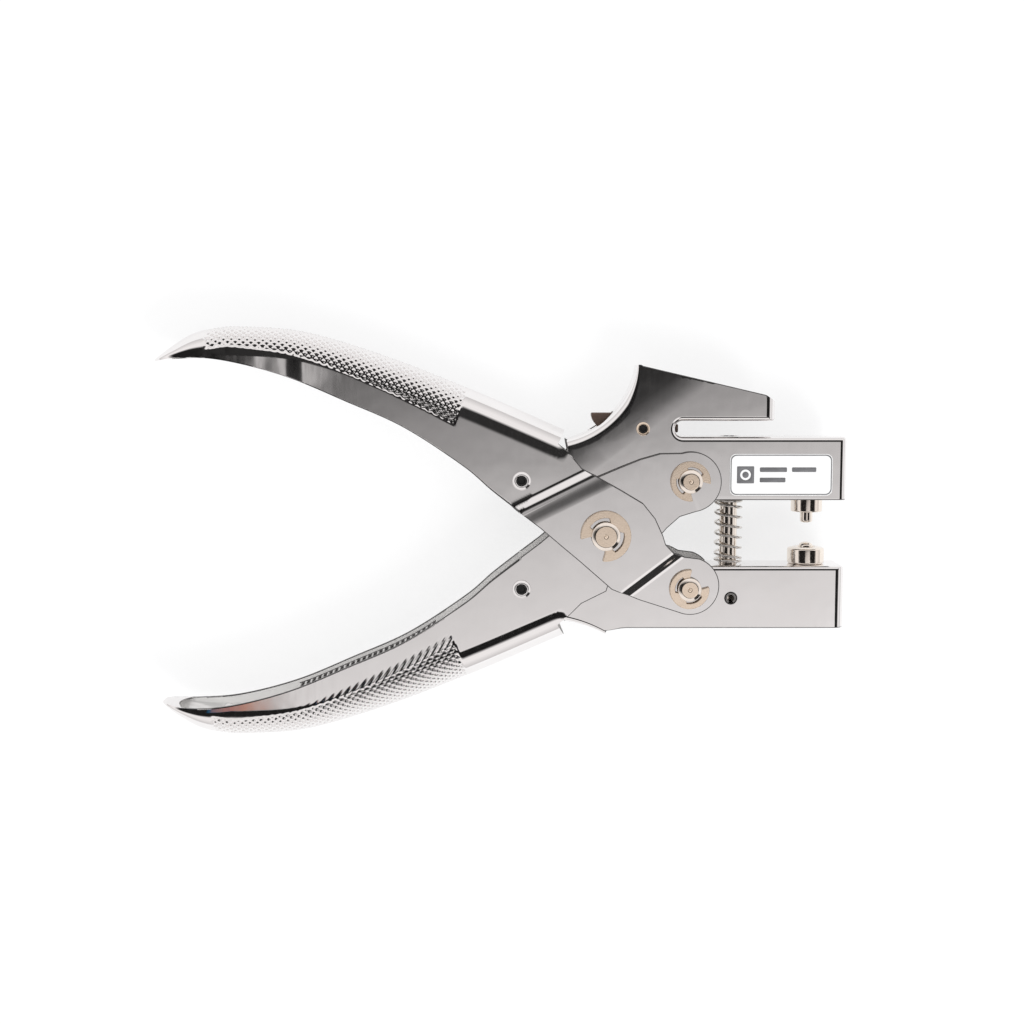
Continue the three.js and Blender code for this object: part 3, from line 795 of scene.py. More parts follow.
def handle_end_points(row, side):
    """The part of the handle's last section that the cheek joins, from the inner edge."""
    near = [p for p in row if p[2] > 0]
    points = [(x, side * y) for x, y, z in near]
    return [p for p in points if (Vector(p) - END_BACK).dot(END_WAY) >= END_CROSS_DEPTH]


def circle(centre, radius, steps=48):
    """A closed ring of points."""
    return arc(centre, radius, 0, 360 - 360 / steps, steps - 1)


def add_cheeks(surface, outline, holes, lines, side):
    """Both cheeks of a handle from one outline, which is drawn for the upper side."""
    points, triangles = fill(outline, holes, lines, roll_net(outline))
    for z_side in (1, -1):
        placed = [(x, side * y, z_side * (HANDLE_HALF - roll_drop(x, y))) for x, y in points]
        surface.add(placed, triangles, flip=(side * z_side) < 0, plate=True)


def make_handle(name, side, outline_ahead, holes, lines, rise=None):
    """A handle: rolled back, cheeks and beak; rise(x, y) lifts both cheeks outwards."""
    surface = Surface()
    last_row = add_handle_skin(surface, side)
    joined = handle_end_points(last_row, side)
    outline = joined + outline_ahead
    if sum(a[0] * b[1] - b[0] * a[1] for a, b in zip(outline, outline[1:] + outline[:1])) < 0:
        outline.reverse()
    add_cheeks(surface, outline, holes, lines, side)
    if rise:
        surface.points = [
            (x, y, z * (1 + rise(x, y) / HANDLE_HALF)) for x, y, z in surface.points
        ]
    piece = surface.build(name)
    sheet_metal(piece, lambda point: 0.03 + 0.97 * smooth((point.x - TIP_X - 4.5) / 4))
    apply_modifiers(piece)
    beak, roll_end = (TIP_X, side * 50, 11), (-12.0, side * 27.2, 5.6)
    inner_corner = (END_INSIDE.x, side * END_INSIDE.y, 0.8)
    pin_holes = [(0, 0, 6), (BOSS_X, -side * BOSS_Y, 5.5)]
    round_rims(piece, [beak, roll_end, inner_corner, *pin_holes])
    return piece


def make_upper_handle():
    ahead = [
        (-12.4, 24.7), (-10.5, 23.3), (-8.5, 21.1), (-6.6, 18.8), (-1.5, 16.1), (4.5, 12.7),
        (10.5, 9.1), (13.9, 4.9), (16.1, 0.1), (16.9, -2.4), (19.2, -4.9), (22.4, -6.1),
        *arc((BOSS_X, -BOSS_Y), BOSS_RADIUS, 72, -112, 44),
        (9.7, -18.4), (1.8, -15.2), (-7.1, -7.4), (-12.7, -2.7), (-18.3, 2.1),
    ]
    lines = line_offsets(*FIRST_STEP, 0, FIRST_STEP_WIDTH, 10)
    lines += line_offsets(*FIRST_STEP, SWELL_FROM, SWELL_FROM + SWELL_WIDTH, 10)
    lines += line_offsets(*SECOND_STEP, 0, SECOND_STEP_WIDTH, 18)
    holes = [
        circle((0, 0), MAIN_PIN_RADIUS + PIN_PLAY),
        circle(LOWER_PIVOT.xy, JAW_PIN_RADIUS + PIN_PLAY),
    ]
    piece = make_handle("upper_handle_shell", 1, ahead, holes, lines, step_rise)
    return finish_piece(piece, [], "upper_handle", "chrome_plate", "upper_handle")


TOOTH_FROM_X, TOOTH_TO_X, TOOTH_PITCH = -88.0, -43.0, 1.9
# Depths below the open edge, and the lean of a tooth along it.
TOOTH_NEAR, TOOTH_FAR, TOOTH_LEAN = 1.3, 2.7, 0.35
TOOTH_FOOT_HALF, TOOTH_CREST_HALF, TOOTH_HEIGHT = 0.4, 0.16, 0.65
BED_NEAR, BED_FAR, BED_THICKNESS = 1.15, 2.85, 0.1


def make_grip_teeth():
    """A row of small slanted teeth inside the open edge of each cheek of the lower handle.

    They stand on a thin strip, the bed, which is coloured dark as painted shade in the gaps between
    them.
    """
    teeth, bed = Surface(), Surface()
    face = HANDLE_HALF - SHEET + 0.02
    first, last = back_share(TOOTH_FROM_X), back_share(TOOTH_TO_X)
    count = round((last - first) * HANDLE_BACK.length / TOOTH_PITCH)

    def edge_at(step, steps):
        share = first + (last - first) * step / steps
        edge = HANDLE_INSIDE.at(share)
        return edge, (edge - HANDLE_BACK.at(share)).normalized()

    for i in range(count + 1):
        edge, out = edge_at(i, count)
        along = Vector((-out.y, out.x))
        near = edge - out * TOOTH_NEAR + along * TOOTH_LEAN
        far = edge - out * TOOTH_FAR - along * TOOTH_LEAN
        for z_side in (1, -1):
            points = []
            for half, z in ((TOOTH_FOOT_HALF, face), (TOOTH_CREST_HALF, face - TOOTH_HEIGHT)):
                ring = (near - along * half, near + along * half, far + along * half, far - along * half)
                points += [(p.x, -p.y, z_side * z) for p in ring]
            teeth.add(points, [
                (0, 1, 5, 4), (1, 2, 6, 5), (2, 3, 7, 6), (3, 0, 4, 7), (4, 5, 6, 7), (3, 2, 1, 0),
            ])
    section = [
        (BED_NEAR, face), (BED_NEAR, face - BED_THICKNESS), (BED_FAR, face - BED_THICKNESS),
        (BED_FAR, face),
    ]
    for z_side in (1, -1):
        rows = []
        for i in range(4 * count + 1):
            edge, out = edge_at(i, 4 * count)
            rows.append([(edge.x - out.x * d, out.y * d - edge.y, z_side * z) for d, z in section])
        bed.grid(rows, closed=True)
        for row in (rows[0], rows[-1]):
            bed.add(row, [(0, 1, 2, 3)])
    piece = teeth.build("lower_handle_teeth")
    faces_outwards(piece)
    soft_edges(piece, 0.08)
    finish_piece(piece, [INNER_PLATE], "lower_handle", "chrome_plate")
    piece = bed.build("lower_handle_teeth_shade_bed")
    faces_outwards(piece)
    # The bed takes the dark edge material: painted shade between the teeth.
    finish_piece(piece, [CUT_EDGE_AND_SHADE], "lower_handle", "chrome_plate")


def make_lower_handle():
    """Its outline is drawn mirrored, with the handle above, and then turned down."""
    ahead = [
        (-12.4, 24.7), (-10.5, 23.3), (-6.6, 19.4), (0.4, 15.9),
        *arc((0, 0), 12.9, 84, 12, 12),
        (15.2, 0.5), (17.3, -2.0), (20.9, -5.2),
        *arc((BOSS_X, -BOSS_Y - 0.6), BOSS_RADIUS + 0.3, 80, -108, 44),
        (15.3, -23.0), (9.7, -21.4), (4.1, -19.2), (-3.2, -16.1), (-7.1, -7.4), (-12.7, -2.7),
        (-18.3, 2.1),
    ]
    holes = [
        circle((0, 0), MAIN_PIN_RADIUS + PIN_PLAY),
        circle((UPPER_PIVOT.x, -UPPER_PIVOT.y), JAW_PIN_RADIUS + PIN_PLAY),
    ]
    piece = make_handle("lower_handle_shell", -1, ahead, holes, [])
    return finish_piece(piece, [], "lower_handle", "chrome_plate", "lower_handle")


# ------------------------------------------------------------------ jaws


BEND_STEPS = 7


def bend_rows(edge):
    """Rows of points from the near cheek round a bend, over the web, to the far cheek.

    edge holds (outer point, cheek point, bend radius): the web stands on the outer
    points and the flat cheek ends at the cheek points.
    """
    rows = []
    for outer, cheek, radius in edge:
        half_row = []
        for i in range(BEND_STEPS + 1):
            angle = math.pi / 2 * (1 - i / BEND_STEPS)
            share = 1 - math.cos(angle)
            x = outer[0] + (cheek[0] - outer[0]) * share
            y = outer[1] + (cheek[1] - outer[1]) * share
            half_row.append((x, y, JAW_HALF - radius * (1 - math.sin(angle))))
        rows.append(half_row + [(x, y, -z) for x, y, z in reversed(half_row)])
    return rows


def offset_edge(points, right, radius):
    """An edge whose cheek points lie at a distance to the right of its path."""
    edge = []
    for i, point in enumerate(points):
        before = Vector(points[max(i - 1, 0)])
        after = Vector(points[min(i + 1, len(points) - 1)])
        along = (after - before).normalized()
        reach = radius(i / (len(points) - 1)) if callable(radius) else radius
        cheek = Vector(point) + Vector((along.y, -along.x)) * reach * right
        edge.append((tuple(point), tuple(cheek), reach))
    return edge


def jaw_skin(name, edges, gaps, holes, dip=None, net=None):
    """A pressed channel: flat cheeks between the bent edges and the open gaps.

    edges and gaps follow one another clockwise round the cheek; dip(x, y) says how far
    the cheeks sink from their flat, over the points that net(outline) gives.
    """
    surface = Surface()
    outline = []
    for edge, gap in zip(edges, gaps):
        for _, cheek, _ in edge:
            if not outline or (Vector(cheek) - Vector(outline[-1])).length > 0.01:
                outline.append(cheek)
        outline += gap
        surface.grid(bend_rows(edge), flip=True)
    outline.reverse()
    points, triangles = fill(outline, holes, net=net(outline + sum(holes, [])) if net else ())
    surface.add([(x, y, JAW_HALF) for x, y in points], triangles, plate=True)
    surface.add([(x, y, -JAW_HALF) for x, y in points], triangles, flip=True, plate=True)
    if dip:
        surface.points = [(x, y, z * (1 - dip(x, y) / JAW_HALF)) for x, y, z in surface.points]
    return surface.build(name)


ARM_OPEN_EDGE = 9.8
SLOT_LOW, SLOT_HIGH = 27.6, 32.0
SLOT_END = 19.5
WEDGE_NOSE = 47.7
STOP_PIN = middle("stop_pin")
WEDGE_APEX = Vector((9.1, 47.7))
WEDGE_DIP_WAY = Vector((0.6, -0.8))
WEDGE_DIP_REACH = 17.0
WEDGE_DIP_BEND = 8.0
WEDGE_DIP_SLOPE = 0.066


def wedge_dip(x, y):
    """The wedge's cheeks sink a little towards its apex, where the sheet was drawn over."""
    reach = WEDGE_DIP_REACH - (Vector((x, y)) - WEDGE_APEX).dot(WEDGE_DIP_WAY)
    bent = min(max(reach, 0.0), WEDGE_DIP_BEND)
    straight = max(reach - WEDGE_DIP_BEND, 0.0)
    return WEDGE_DIP_SLOPE * (bent * bent / (2 * WEDGE_DIP_BEND) + straight)


def collar(outline, reach):
    """Points a short way inside an outline, which keep the sheet even beside its edges."""
    found = []
    for a, b, c in zip(outline[-1:] + outline, outline, outline[1:] + outline[:1]):
        along = (Vector(c) - Vector(a)).normalized()
        for right in (Vector((along.y, -along.x)), Vector((-along.y, along.x))):
            point = Vector(b) + right * reach
            clear = min((point - Vector(p)).length for p in outline) > 0.75 * reach
            if clear and inside(point, outline):
                found.append(point)
    return found


def wedge_net(outline):
    """Points over the part of the cheek that dips, kept clear of its outline."""
    across = Vector((-WEDGE_DIP_WAY.y, WEDGE_DIP_WAY.x))
    step = 1.5
    found = []
    for i in range(int(WEDGE_DIP_REACH / step) + 1):
        for j in range(-26, 20):
            point = WEDGE_APEX + WEDGE_DIP_WAY * step * i + across * step * j
            near = min((point - Vector(p)).length for p in outline)
            if inside(point, outline) and near > 0.8:
                found.append(point)
    return found + collar(outline, 0.6)


def make_upper_jaw():
    back = arc_through((-11.2, 26.8), (0.4, 32.6), (9.1, 47.7), 40)
    back_edge = offset_edge(back, 1, lambda t: 3.0 * min(1.0, 0.06 + 2.2 * (1 - t) ** 0.8))
    # Bend radii round the front: the wedge's nose, the slot's ends and the arm's nose.
    bend, slot_bend, slot_last, arm_bend = 2.9, 1.3, 1.5, 2.1
    cheek_x, arm_cheek_x = WEDGE_NOSE - bend, NOSE_X - arm_bend
    nose_edge = [
        ((WEDGE_NOSE, 37.4), (cheek_x, 39.3), bend), ((WEDGE_NOSE, 34.6), (cheek_x, 35.2), bend),
    ]
    for i, p in enumerate(arc((WEDGE_NOSE - 1.0, SLOT_HIGH + 1.0), 1.0, 0, -90, 5)):
        nose_edge.append((p, (cheek_x, SLOT_HIGH + slot_bend), bend - 1.6 * i / 5))
    slot_radius = (SLOT_HIGH - SLOT_LOW) / 2
    slot_centre = (SLOT_END + slot_radius, (SLOT_LOW + SLOT_HIGH) / 2)
    slot_edge = []
    for i, p in enumerate(arc(slot_centre, slot_radius, 90, 270, 24)):
        reach = slot_bend + 0.2 * i / 24
        out = (Vector(p) - Vector(slot_centre)).normalized()
        slot_edge.append((p, tuple(Vector(p) + out * reach), reach))
    arm_edge = []
    for i, p in enumerate(arc((NOSE_X - 1.2, SLOT_LOW - 1.2), 1.2, 90, 0, 5)):
        arm_edge.append((p, (arm_cheek_x, SLOT_LOW - slot_last), slot_last + 0.6 * i / 5))
    arm_edge.append(((NOSE_X, ARM_OPEN_EDGE), (arm_cheek_x, ARM_OPEN_EDGE), arm_bend))
    front_edge = nose_edge + slot_edge + arm_edge
    holes = [
        circle(UPPER_PIVOT.xy, JAW_PIN_RADIUS + PIN_PLAY),
        circle(STOP_PIN.xy, 1.75, 32),
    ]
    top_start, top_end = Vector(back_edge[-1][1]), Vector(front_edge[0][1])
    top = [tuple(top_start.lerp(top_end, i / 24)) for i in range(1, 24)]
    gaps = [top, [(4.0, ARM_OPEN_EDGE), (-11.2, 20.5)]]
    piece = jaw_skin("upper_jaw_shell", [back_edge, front_edge], gaps, holes, wedge_dip, wedge_net)
    sheet_metal(piece)
    tab_low, tab_high = tool_box("depth_stop")
    cutters = [
        box("tab_window", (-8, 29.2, tab_low.z - 0.3), (8, tab_high.y + 0.3, tab_high.z + 0.3)),
        box("nose_window", (17, 28.1, -4.6), (21.4, 31.5, 4.6)),
        turned("post_hole", [(0, 0), (2.8, 0), (2.8, 10), (0, 10)], (POST_X, 25, 0), "Y", 48),
    ]
    bore_out(piece, cutters)
    pin_holes = [(*STOP_PIN.xy, 3), (*UPPER_PIVOT.xy, 5.5)]
    nose_corner, tab_hole = (46.2, 38.2, 2.4), (-2.5, 30.6, 4)
    round_rims(piece, [*pin_holes, (*WEDGE_APEX, 1.2), nose_corner, tab_hole])
    return finish_piece(piece, [], "upper_jaw", "chrome_plate", "upper_jaw_frame")


def make_lower_jaw():
    top, open_edge = tool_box("lower_jaw_frame")[1].y, -26.6
    corner = arc((NOSE_X - 1.2, top - 1.2), 1.2, 90, 0, 5)
    top_bend, nose_bend = 1.35, 2.8
    front = [((8.0, top), (8.0, top - top_bend), top_bend)]
    for i, p in enumerate(corner):
        reach = top_bend + 1.45 * i / 5
        front.append((p, (NOSE_X - nose_bend, top - top_bend), reach))
    front.append(((NOSE_X, open_edge), (NOSE_X - nose_bend, open_edge), nose_bend))
    outer = arc_through((0.2, -28.4), (-6.0, -25.9), (-12.2, -24.6), 20)
    inner = arc_through((0.3, -27.4), (-6.0, -24.5), (-12.7, -22.8), 20)
    rear = [(p, q, (Vector(p) - Vector(q)).length) for p, q in zip(outer, inner)]
    holes = [
        circle(LOWER_PIVOT.xy, JAW_PIN_RADIUS + PIN_PLAY),
        circle(middle("post_roll_pin").xy, 1.6, 32),
    ]
    gaps = [[(6.5, open_edge), (4.6, open_edge - 0.15), (2.6, open_edge - 0.5)], [(-11.8, -20.2)]]
    piece = jaw_skin("lower_jaw_shell", [front, rear], gaps, holes)
    sheet_metal(piece)
    cutters = [
        turned("post_hole", [(0, 0), (2.8, 0), (2.8, 6), (0, 6)], (POST_X, top - 3, 0), "Y", 48),
        turned("anvil_hole", [(0, 0), (3.6, 0), (3.6, 6), (0, 6)], (DIE_X, top - 3, 0), "Y", 48),
    ]
    bore_out(piece, cutters)
    rear_ends = [(1.0, -27.8, 2.0), (-12.2, -23.8, 1.6)]
    round_rims(piece, [(*LOWER_PIVOT.xy, 5.5), *rear_ends])
    return finish_piece(piece, [], "lower_jaw", "chrome_plate", "lower_jaw_frame")


# ------------------------------------------------------------------ turned fittings


PIN_HEAD, PIN_END = 1.2, 0.9


def make_pin(node, body, x, y, radius, groove):
    """A headed pivot pin with a groove, a chamfered end and a centre dimple."""
    low, high = tool_box(node)
    head_low, end = low.z, high.z
    head_top, groove_high = head_low + PIN_HEAD, end - PIN_END
    groove_low = groove_high - groove
    head = high.x - x
    crown = [
        (radius, end - 0.6), (radius - 0.06, end - 0.52), (radius - 0.16, end - 0.46),
        (radius - 0.9, end - 0.05), (radius - 1.0, end - 0.01), (radius - 1.1, end),
        (radius - 1.25, end),
    ]
    profile = [
        (0, head_low), (head - 0.5, head_low), (head - 0.15, head_low + 0.12), (head, head_low + 0.4),
        (head, head_top - 0.12), (head - 0.12, head_top), (radius, head_top), (radius, groove_low),
        (radius - 0.8, groove_low), (radius - 0.8, groove_high), (radius, groove_high), *crown,
        (0.7, end), (0.55, end), (0.4, end - 0.12), (0.15, end - 0.34), (0, end - 0.38),
    ]
    piece = turned(node + "_turned", profile, (x, y, 0), "Z", 80)
    flat = radius - 1.05
    paint(piece, 1, lambda point: point.z > end - 0.5 and (point.xy - Vector((x, y))).length < flat)
    soft_edges(piece, 0.05, 40, 1)
    return finish_piece(piece, [BRIGHT_NICKEL, NICKEL], body, "nickel_plate", node)


def make_clip(node, body, x, y, bore, mouth):
    """A stamped E-shaped retaining clip; its mouth faces the given angle."""
    low, high = tool_box(node)
    outer = (high.x - low.x) / 2
    relief = bore + 0.45 * (outer - bore)
    spans = [
        (outer, 38, 322, 60), (bore, 314, 292, 6), (relief, 284, 214, 16),
        (bore, 202, 158, 10), (relief, 146, 76, 16), (bore, 68, 46, 6),
    ]
    outline = []
    for radius, start, end, steps in spans:
        outline += arc((x, y), radius, mouth + start, mouth + end, steps)
    piece = prism(node + "_stamped", outline, low.z - 0.25, high.z - 0.05)
    soft_edges(piece, 0.16, 35, 3)
    return finish_piece(piece, [NICKEL], body, "nickel_plate", node)


def make_rivet(node, body, bore, shank, material):
    """A tubular rivet with both ends rolled over and a plug a little way down its bore; the bore and
    plug are coloured near-black as painted shade.
    """
    low, high = tool_box(node)
    x, y, _ = middle(node)
    flange, rim = (high.x - low.x) / 2, high.z
    seat = rim - 0.9
    crest = bore + 0.35 * (flange - bore)
    roll = [
        (flange, seat + 0.05), (flange - 0.03, seat + 0.2), (flange - 0.14, seat + 0.3),
        (crest + 0.12, seat + 0.68), (crest, seat + 0.72), (crest - 0.1, seat + 0.68),
        (bore + 0.05, seat + 0.35), (bore, seat + 0.2),
    ]
    plug = [(bore - 0.02, seat + 0.12), (bore * 0.5, seat + 0.06), (0, seat + 0.06)]
    upper = [(shank, seat)] + roll + plug
    lower = [(r, -h) for r, h in reversed(upper)]
    piece = turned(node + "_rolled", lower + upper, (x, y, 0), "Z", 56)
    # Painted shade: the bore and the plug take a near-black, which stands in for the shade in a deep
    # hollow.
    paint(piece, 1, lambda point: (point.xy - Vector((x, y))).length < bore + 0.01)
    return finish_piece(piece, [material, PAINTED_BORE_SHADE], body, "nickel_plate", node)


def fit_turned(node, body, x, profile, segments, edge=0.0):
    """A bright turned fitting that stands along Y, with its sharp edges broken."""
    piece = turned(node + "_turned", profile, (x, 0, 0), "Y", segments)
    if edge:
        soft_edges(piece, edge, 40, 1)
    finish_piece(piece, [BRIGHT_NICKEL], body, "nickel_plate", node)


def upright(node):
    """The lowest and highest y of a CAD node that stands along Y, and its radius."""
    low, high = tool_box(node)
    return low.y, high.y, (high.x - low.x) / 2


def make_guide_post():
    foot, top, r = upright("guide_post")
    fit_turned("guide_post", "lower_jaw", POST_X, [
        (0, foot), (r - 0.5, foot), (r, foot + 0.5), (r, top - 0.9), (r - 0.12, top - 0.8),
        (r - 0.14, top - 0.02), (r - 0.22, top), (r - 0.5, top - 0.3), (0.6, top - 1.5), (0, top - 1.6),
    ], 64, 0.05)


def make_anvil():
    foot, top, r = upright("anvil")
    seat = tool_box("lower_jaw_frame")[1].y
    fit_turned("anvil", "lower_jaw", DIE_X, [
        (0, foot), (3.4, foot), (3.4, seat - 0.02), (r - 0.35, seat + 0.02), (r - 0.1, seat + 0.35),
        (r, seat + 0.6), (r, top - 0.75), (r - 0.1, top - 0.5), (r - 0.32, top - 0.3),
        (r - 0.75, top - 0.22), (r - 1.15, top - 0.12), (r - 1.5, top), (2.75, top),
        (2.5, top - 0.12), (2.4, top - 0.4), (2.4, foot + 1.4), (0, foot + 1.4),
    ], 80, 0.06)


def make_nub():
    foot, top, r = upright("locating_nub")
    rise = 1.35
    angles = [math.radians(a) for a in range(0, 91, 10)]
    dome = [(r * math.cos(a), top - rise + rise * math.sin(a)) for a in angles]
    fit_turned("locating_nub", "locating_nub", DIE_X, [(0, foot), (r, foot)] + dome, 56)


def make_setting_die():
    face, top, r = upright("upper_setting_die")
    seat = ARM_OPEN_EDGE + 0.25
    fit_turned("upper_setting_die", "upper_jaw", DIE_X, [
        (1.95, face + 0.3), (2.25, face), (r - 0.45, face), (r - 0.12, face + 0.12), (r, face + 0.4),
        (r, seat - 0.15), (r - 0.2, seat), (3.0, seat), (3.0, top), (1.95, top), (1.95, face + 0.3),
    ], 80, 0.06)


def make_setting_pin():
    tip, top, r = upright("setting_die_pin")
    fit_turned("setting_die_pin", "upper_jaw", DIE_X, [
        (0, tip + 0.02), (r - 0.6, tip), (r - 0.25, tip + 0.1), (r - 0.03, tip + 0.4), (r, tip + 0.7),
        (r, top), (0, top),
    ], 56, 0.05)


def make_roll_pin():
    """A rolled, split pin, open towards the nose."""
    low, high = tool_box("post_roll_pin")
    centre, r = ((low + high) / 2).xy, (high.x - low.x) / 2
    outline = arc(centre, r, -62, 242, 40) + arc(centre, r - 0.5, 242, -62, 40)
    piece = prism("post_roll_pin_rolled", outline, low.z, high.z)
    soft_edges(piece, 0.12)
    return finish_piece(piece, [TOOL_STEEL], "lower_jaw", "hard_steel", "post_roll_pin")


def make_coil(node, x, wire, low, high, radius, turns, closed_pitch, sides, steps):
    """A compression spring along Y with one nearly closed turn at each end."""
    total = turns + 2
    open_pitch = (high - low - 2 * closed_pitch) / turns
    count = round(total * steps)
    rings = []
    for i in range(count + 1):
        turn = total * i / count
        closed = min(turn, 1) + max(turn - total + 1, 0)
        height = low + closed * closed_pitch + (turn - closed) * open_pitch
        angle = 2 * math.pi * turn
        out = Vector((math.cos(angle), 0, math.sin(angle)))
        centre = Vector((x, height, 0)) + out * radius
        up = Vector((0, 1, 0))
        around = [2 * math.pi * k / sides for k in range(sides)]
        rings.append([tuple(centre + (out * math.cos(a) + up * math.sin(a)) * wire) for a in around])
    surface = Surface()
    surface.grid(rings, closed=True)
    surface.add(rings[0], [tuple(range(sides))], flip=True)
    surface.add(rings[-1], [tuple(range(sides))])
    piece = surface.build(node + "_coil")
    faces_outwards(piece)
    return finish_piece(piece, [SPRING_WIRE], "lower_jaw", "spring_steel", node)


def make_springs():
    """Both springs, each with a mesh of its own."""
    low, high = tool_box("return_spring")
    wire = 0.36
    bottom, top = low.y + wire, ARM_OPEN_EDGE - wire
    radius = (high.x - low.x) / 2 - wire
    spring = make_coil("return_spring", POST_X, wire, bottom, top, radius, 5.5, 0.85, 10, 36)
    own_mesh(spring)
    low, high = tool_box("nub_spring")
    wire = 0.2
    spring = make_coil("nub_spring", DIE_X, wire, low.y + wire, high.y - wire, 1.5, 6, 0.7, 8, 24)
    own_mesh(spring)


# ------------------------------------------------------------------ plate and blocks


def rounded_box(x0, x1, y0, y1, radius, steps=6):
    """An upright rectangle with round corners."""
    right, left, top, bottom = x1 - radius, x0 + radius, y1 - radius, y0 + radius
    corners = ((right, top, 0), (left, top, 90), (left, bottom, 180), (right, bottom, 270))
    return [p for x, y, start in corners for p in arc((x, y), radius, start, start + 90, steps)]


INK_HALF = 0.02
KEYLINE_INSET, KEYLINE_WIDTH = 0.2, 0.28
BADGE_FROM_END, BADGE_HALF = 4.4, 2.4
BAR_HEIGHT = 1.3


def make_name_plate():
    """A white enamel plate with a keyline, a plain block and plain bars."""
    low, high = tool_box("name_plate")
    face = JAW_HALF + 0.3
    centre = (low.y + high.y) / 2

    def inset(edge, radius):
        return rounded_box(low.x + edge, high.x - edge, low.y + edge, high.y - edge, radius)

    def ink(name, outline, holes=()):
        piece = prism("name_plate_" + name, outline, face - INK_HALF, face + INK_HALF, holes)
        finish_piece(piece, [PLATE_INK], "upper_jaw", "plate_enamel")

    plate = prism("name_plate_enamel", inset(0, 1.7), JAW_HALF + 0.02, face)
    soft_edges(plate, 0.08)
    finish_piece(plate, [PLATE_WHITE], "upper_jaw", "plate_enamel", "name_plate")
    ink("keyline", inset(KEYLINE_INSET, 1.6), [inset(KEYLINE_INSET + KEYLINE_WIDTH, 1.5)])
    badge_x = low.x + BADGE_FROM_END
    block = rounded_box(
        badge_x - BADGE_HALF, badge_x + BADGE_HALF, centre - BADGE_HALF, centre + BADGE_HALF, 0.2, 3,
    )
    ink("badge", block, [circle((badge_x, centre), 1.5, 32)])
    ink("disc", circle((badge_x, centre), 0.9, 32))
    for name, start, length, rise in (
        ("bar_a", 8.4, 7.6, 0.8), ("bar_b", 17.4, 6.8, 0.8), ("bar_c", 8.4, 7.2, -2.1),
    ):
        x, y = low.x + start, centre + rise
        ink(name, rounded_box(x, x + length, y, y + BAR_HEIGHT, 0.25, 3))


def make_blocks():
    """The blocks inside the jaws and the moulded slider, on their CAD shapes."""
    for node, body in (
        ("post_guide", "upper_jaw"), ("punch_die", "upper_jaw"), ("upper_die_block", "upper_jaw"),
        ("post_foot_block", "lower_jaw"), ("anvil_block", "lower_jaw"),
    ):
        finish_piece(refined(node, 0.35), [TOOL_STEEL], body, "hard_steel", node)
    finish_piece(refined("depth_stop", 0.4), [NYLON], "depth_stop", "brown_nylon", "depth_stop")


make_upper_handle()
make_lower_handle()
make_grip_teeth()
make_upper_jaw()
make_lower_jaw()
make_pin("main_pivot_pin", "upper_handle", 0, 0, MAIN_PIN_RADIUS, 1.5)
make_pin("upper_jaw_pin", "upper_jaw", UPPER_PIVOT.x, UPPER_PIVOT.y, JAW_PIN_RADIUS, 1.3)
make_pin("lower_jaw_pin", "lower_jaw", LOWER_PIVOT.x, LOWER_PIVOT.y, JAW_PIN_RADIUS, 1.3)
make_clip("main_e_clip", "upper_handle", 0, 0, 3.5, 225)
make_clip("upper_jaw_e_clip", "upper_jaw", UPPER_PIVOT.x, UPPER_PIVOT.y, 2.7, -45)
make_clip("lower_jaw_e_clip", "lower_jaw", LOWER_PIVOT.x, LOWER_PIVOT.y, 2.7, 45)
for handle in ("upper_handle", "lower_handle"):
    make_rivet(handle + "_rivet", handle, 1.35, 1.95, CHROME)
make_rivet("stop_pin", "upper_jaw", 1.15, 1.55, NICKEL)
make_guide_post()
make_anvil()
make_nub()
make_setting_die()
make_setting_pin()
make_roll_pin()
make_springs()
make_name_plate()
make_blocks()

# ------------------------------------------------------------------ studio


def make_floor():
    bpy.ops.mesh.primitive_plane_add(size=6, location=(0, 0, 0))
    floor = bpy.context.object
    floor.name = "studio_floor"
    floor.data.materials.append(make_floor_paint())


def make_lamp():
    """One broad lamp low on the right, which sends the faint shadows up and left."""
    light = bpy.data.lights.new("side_lamp", "AREA")
    light.shape = "RECTANGLE"
    light.size = light.size_y = 0.5
    light.energy = 6
    lamp = bpy.data.objects.new("side_lamp", light)
    lamp.location = (0.55, -0.75, 0.8)
    lamp.rotation_euler = (-lamp.location).to_track_quat("-Z", "Y").to_euler()
    lamp.visible_glossy = False
    bpy.context.scene.collection.objects.link(lamp)


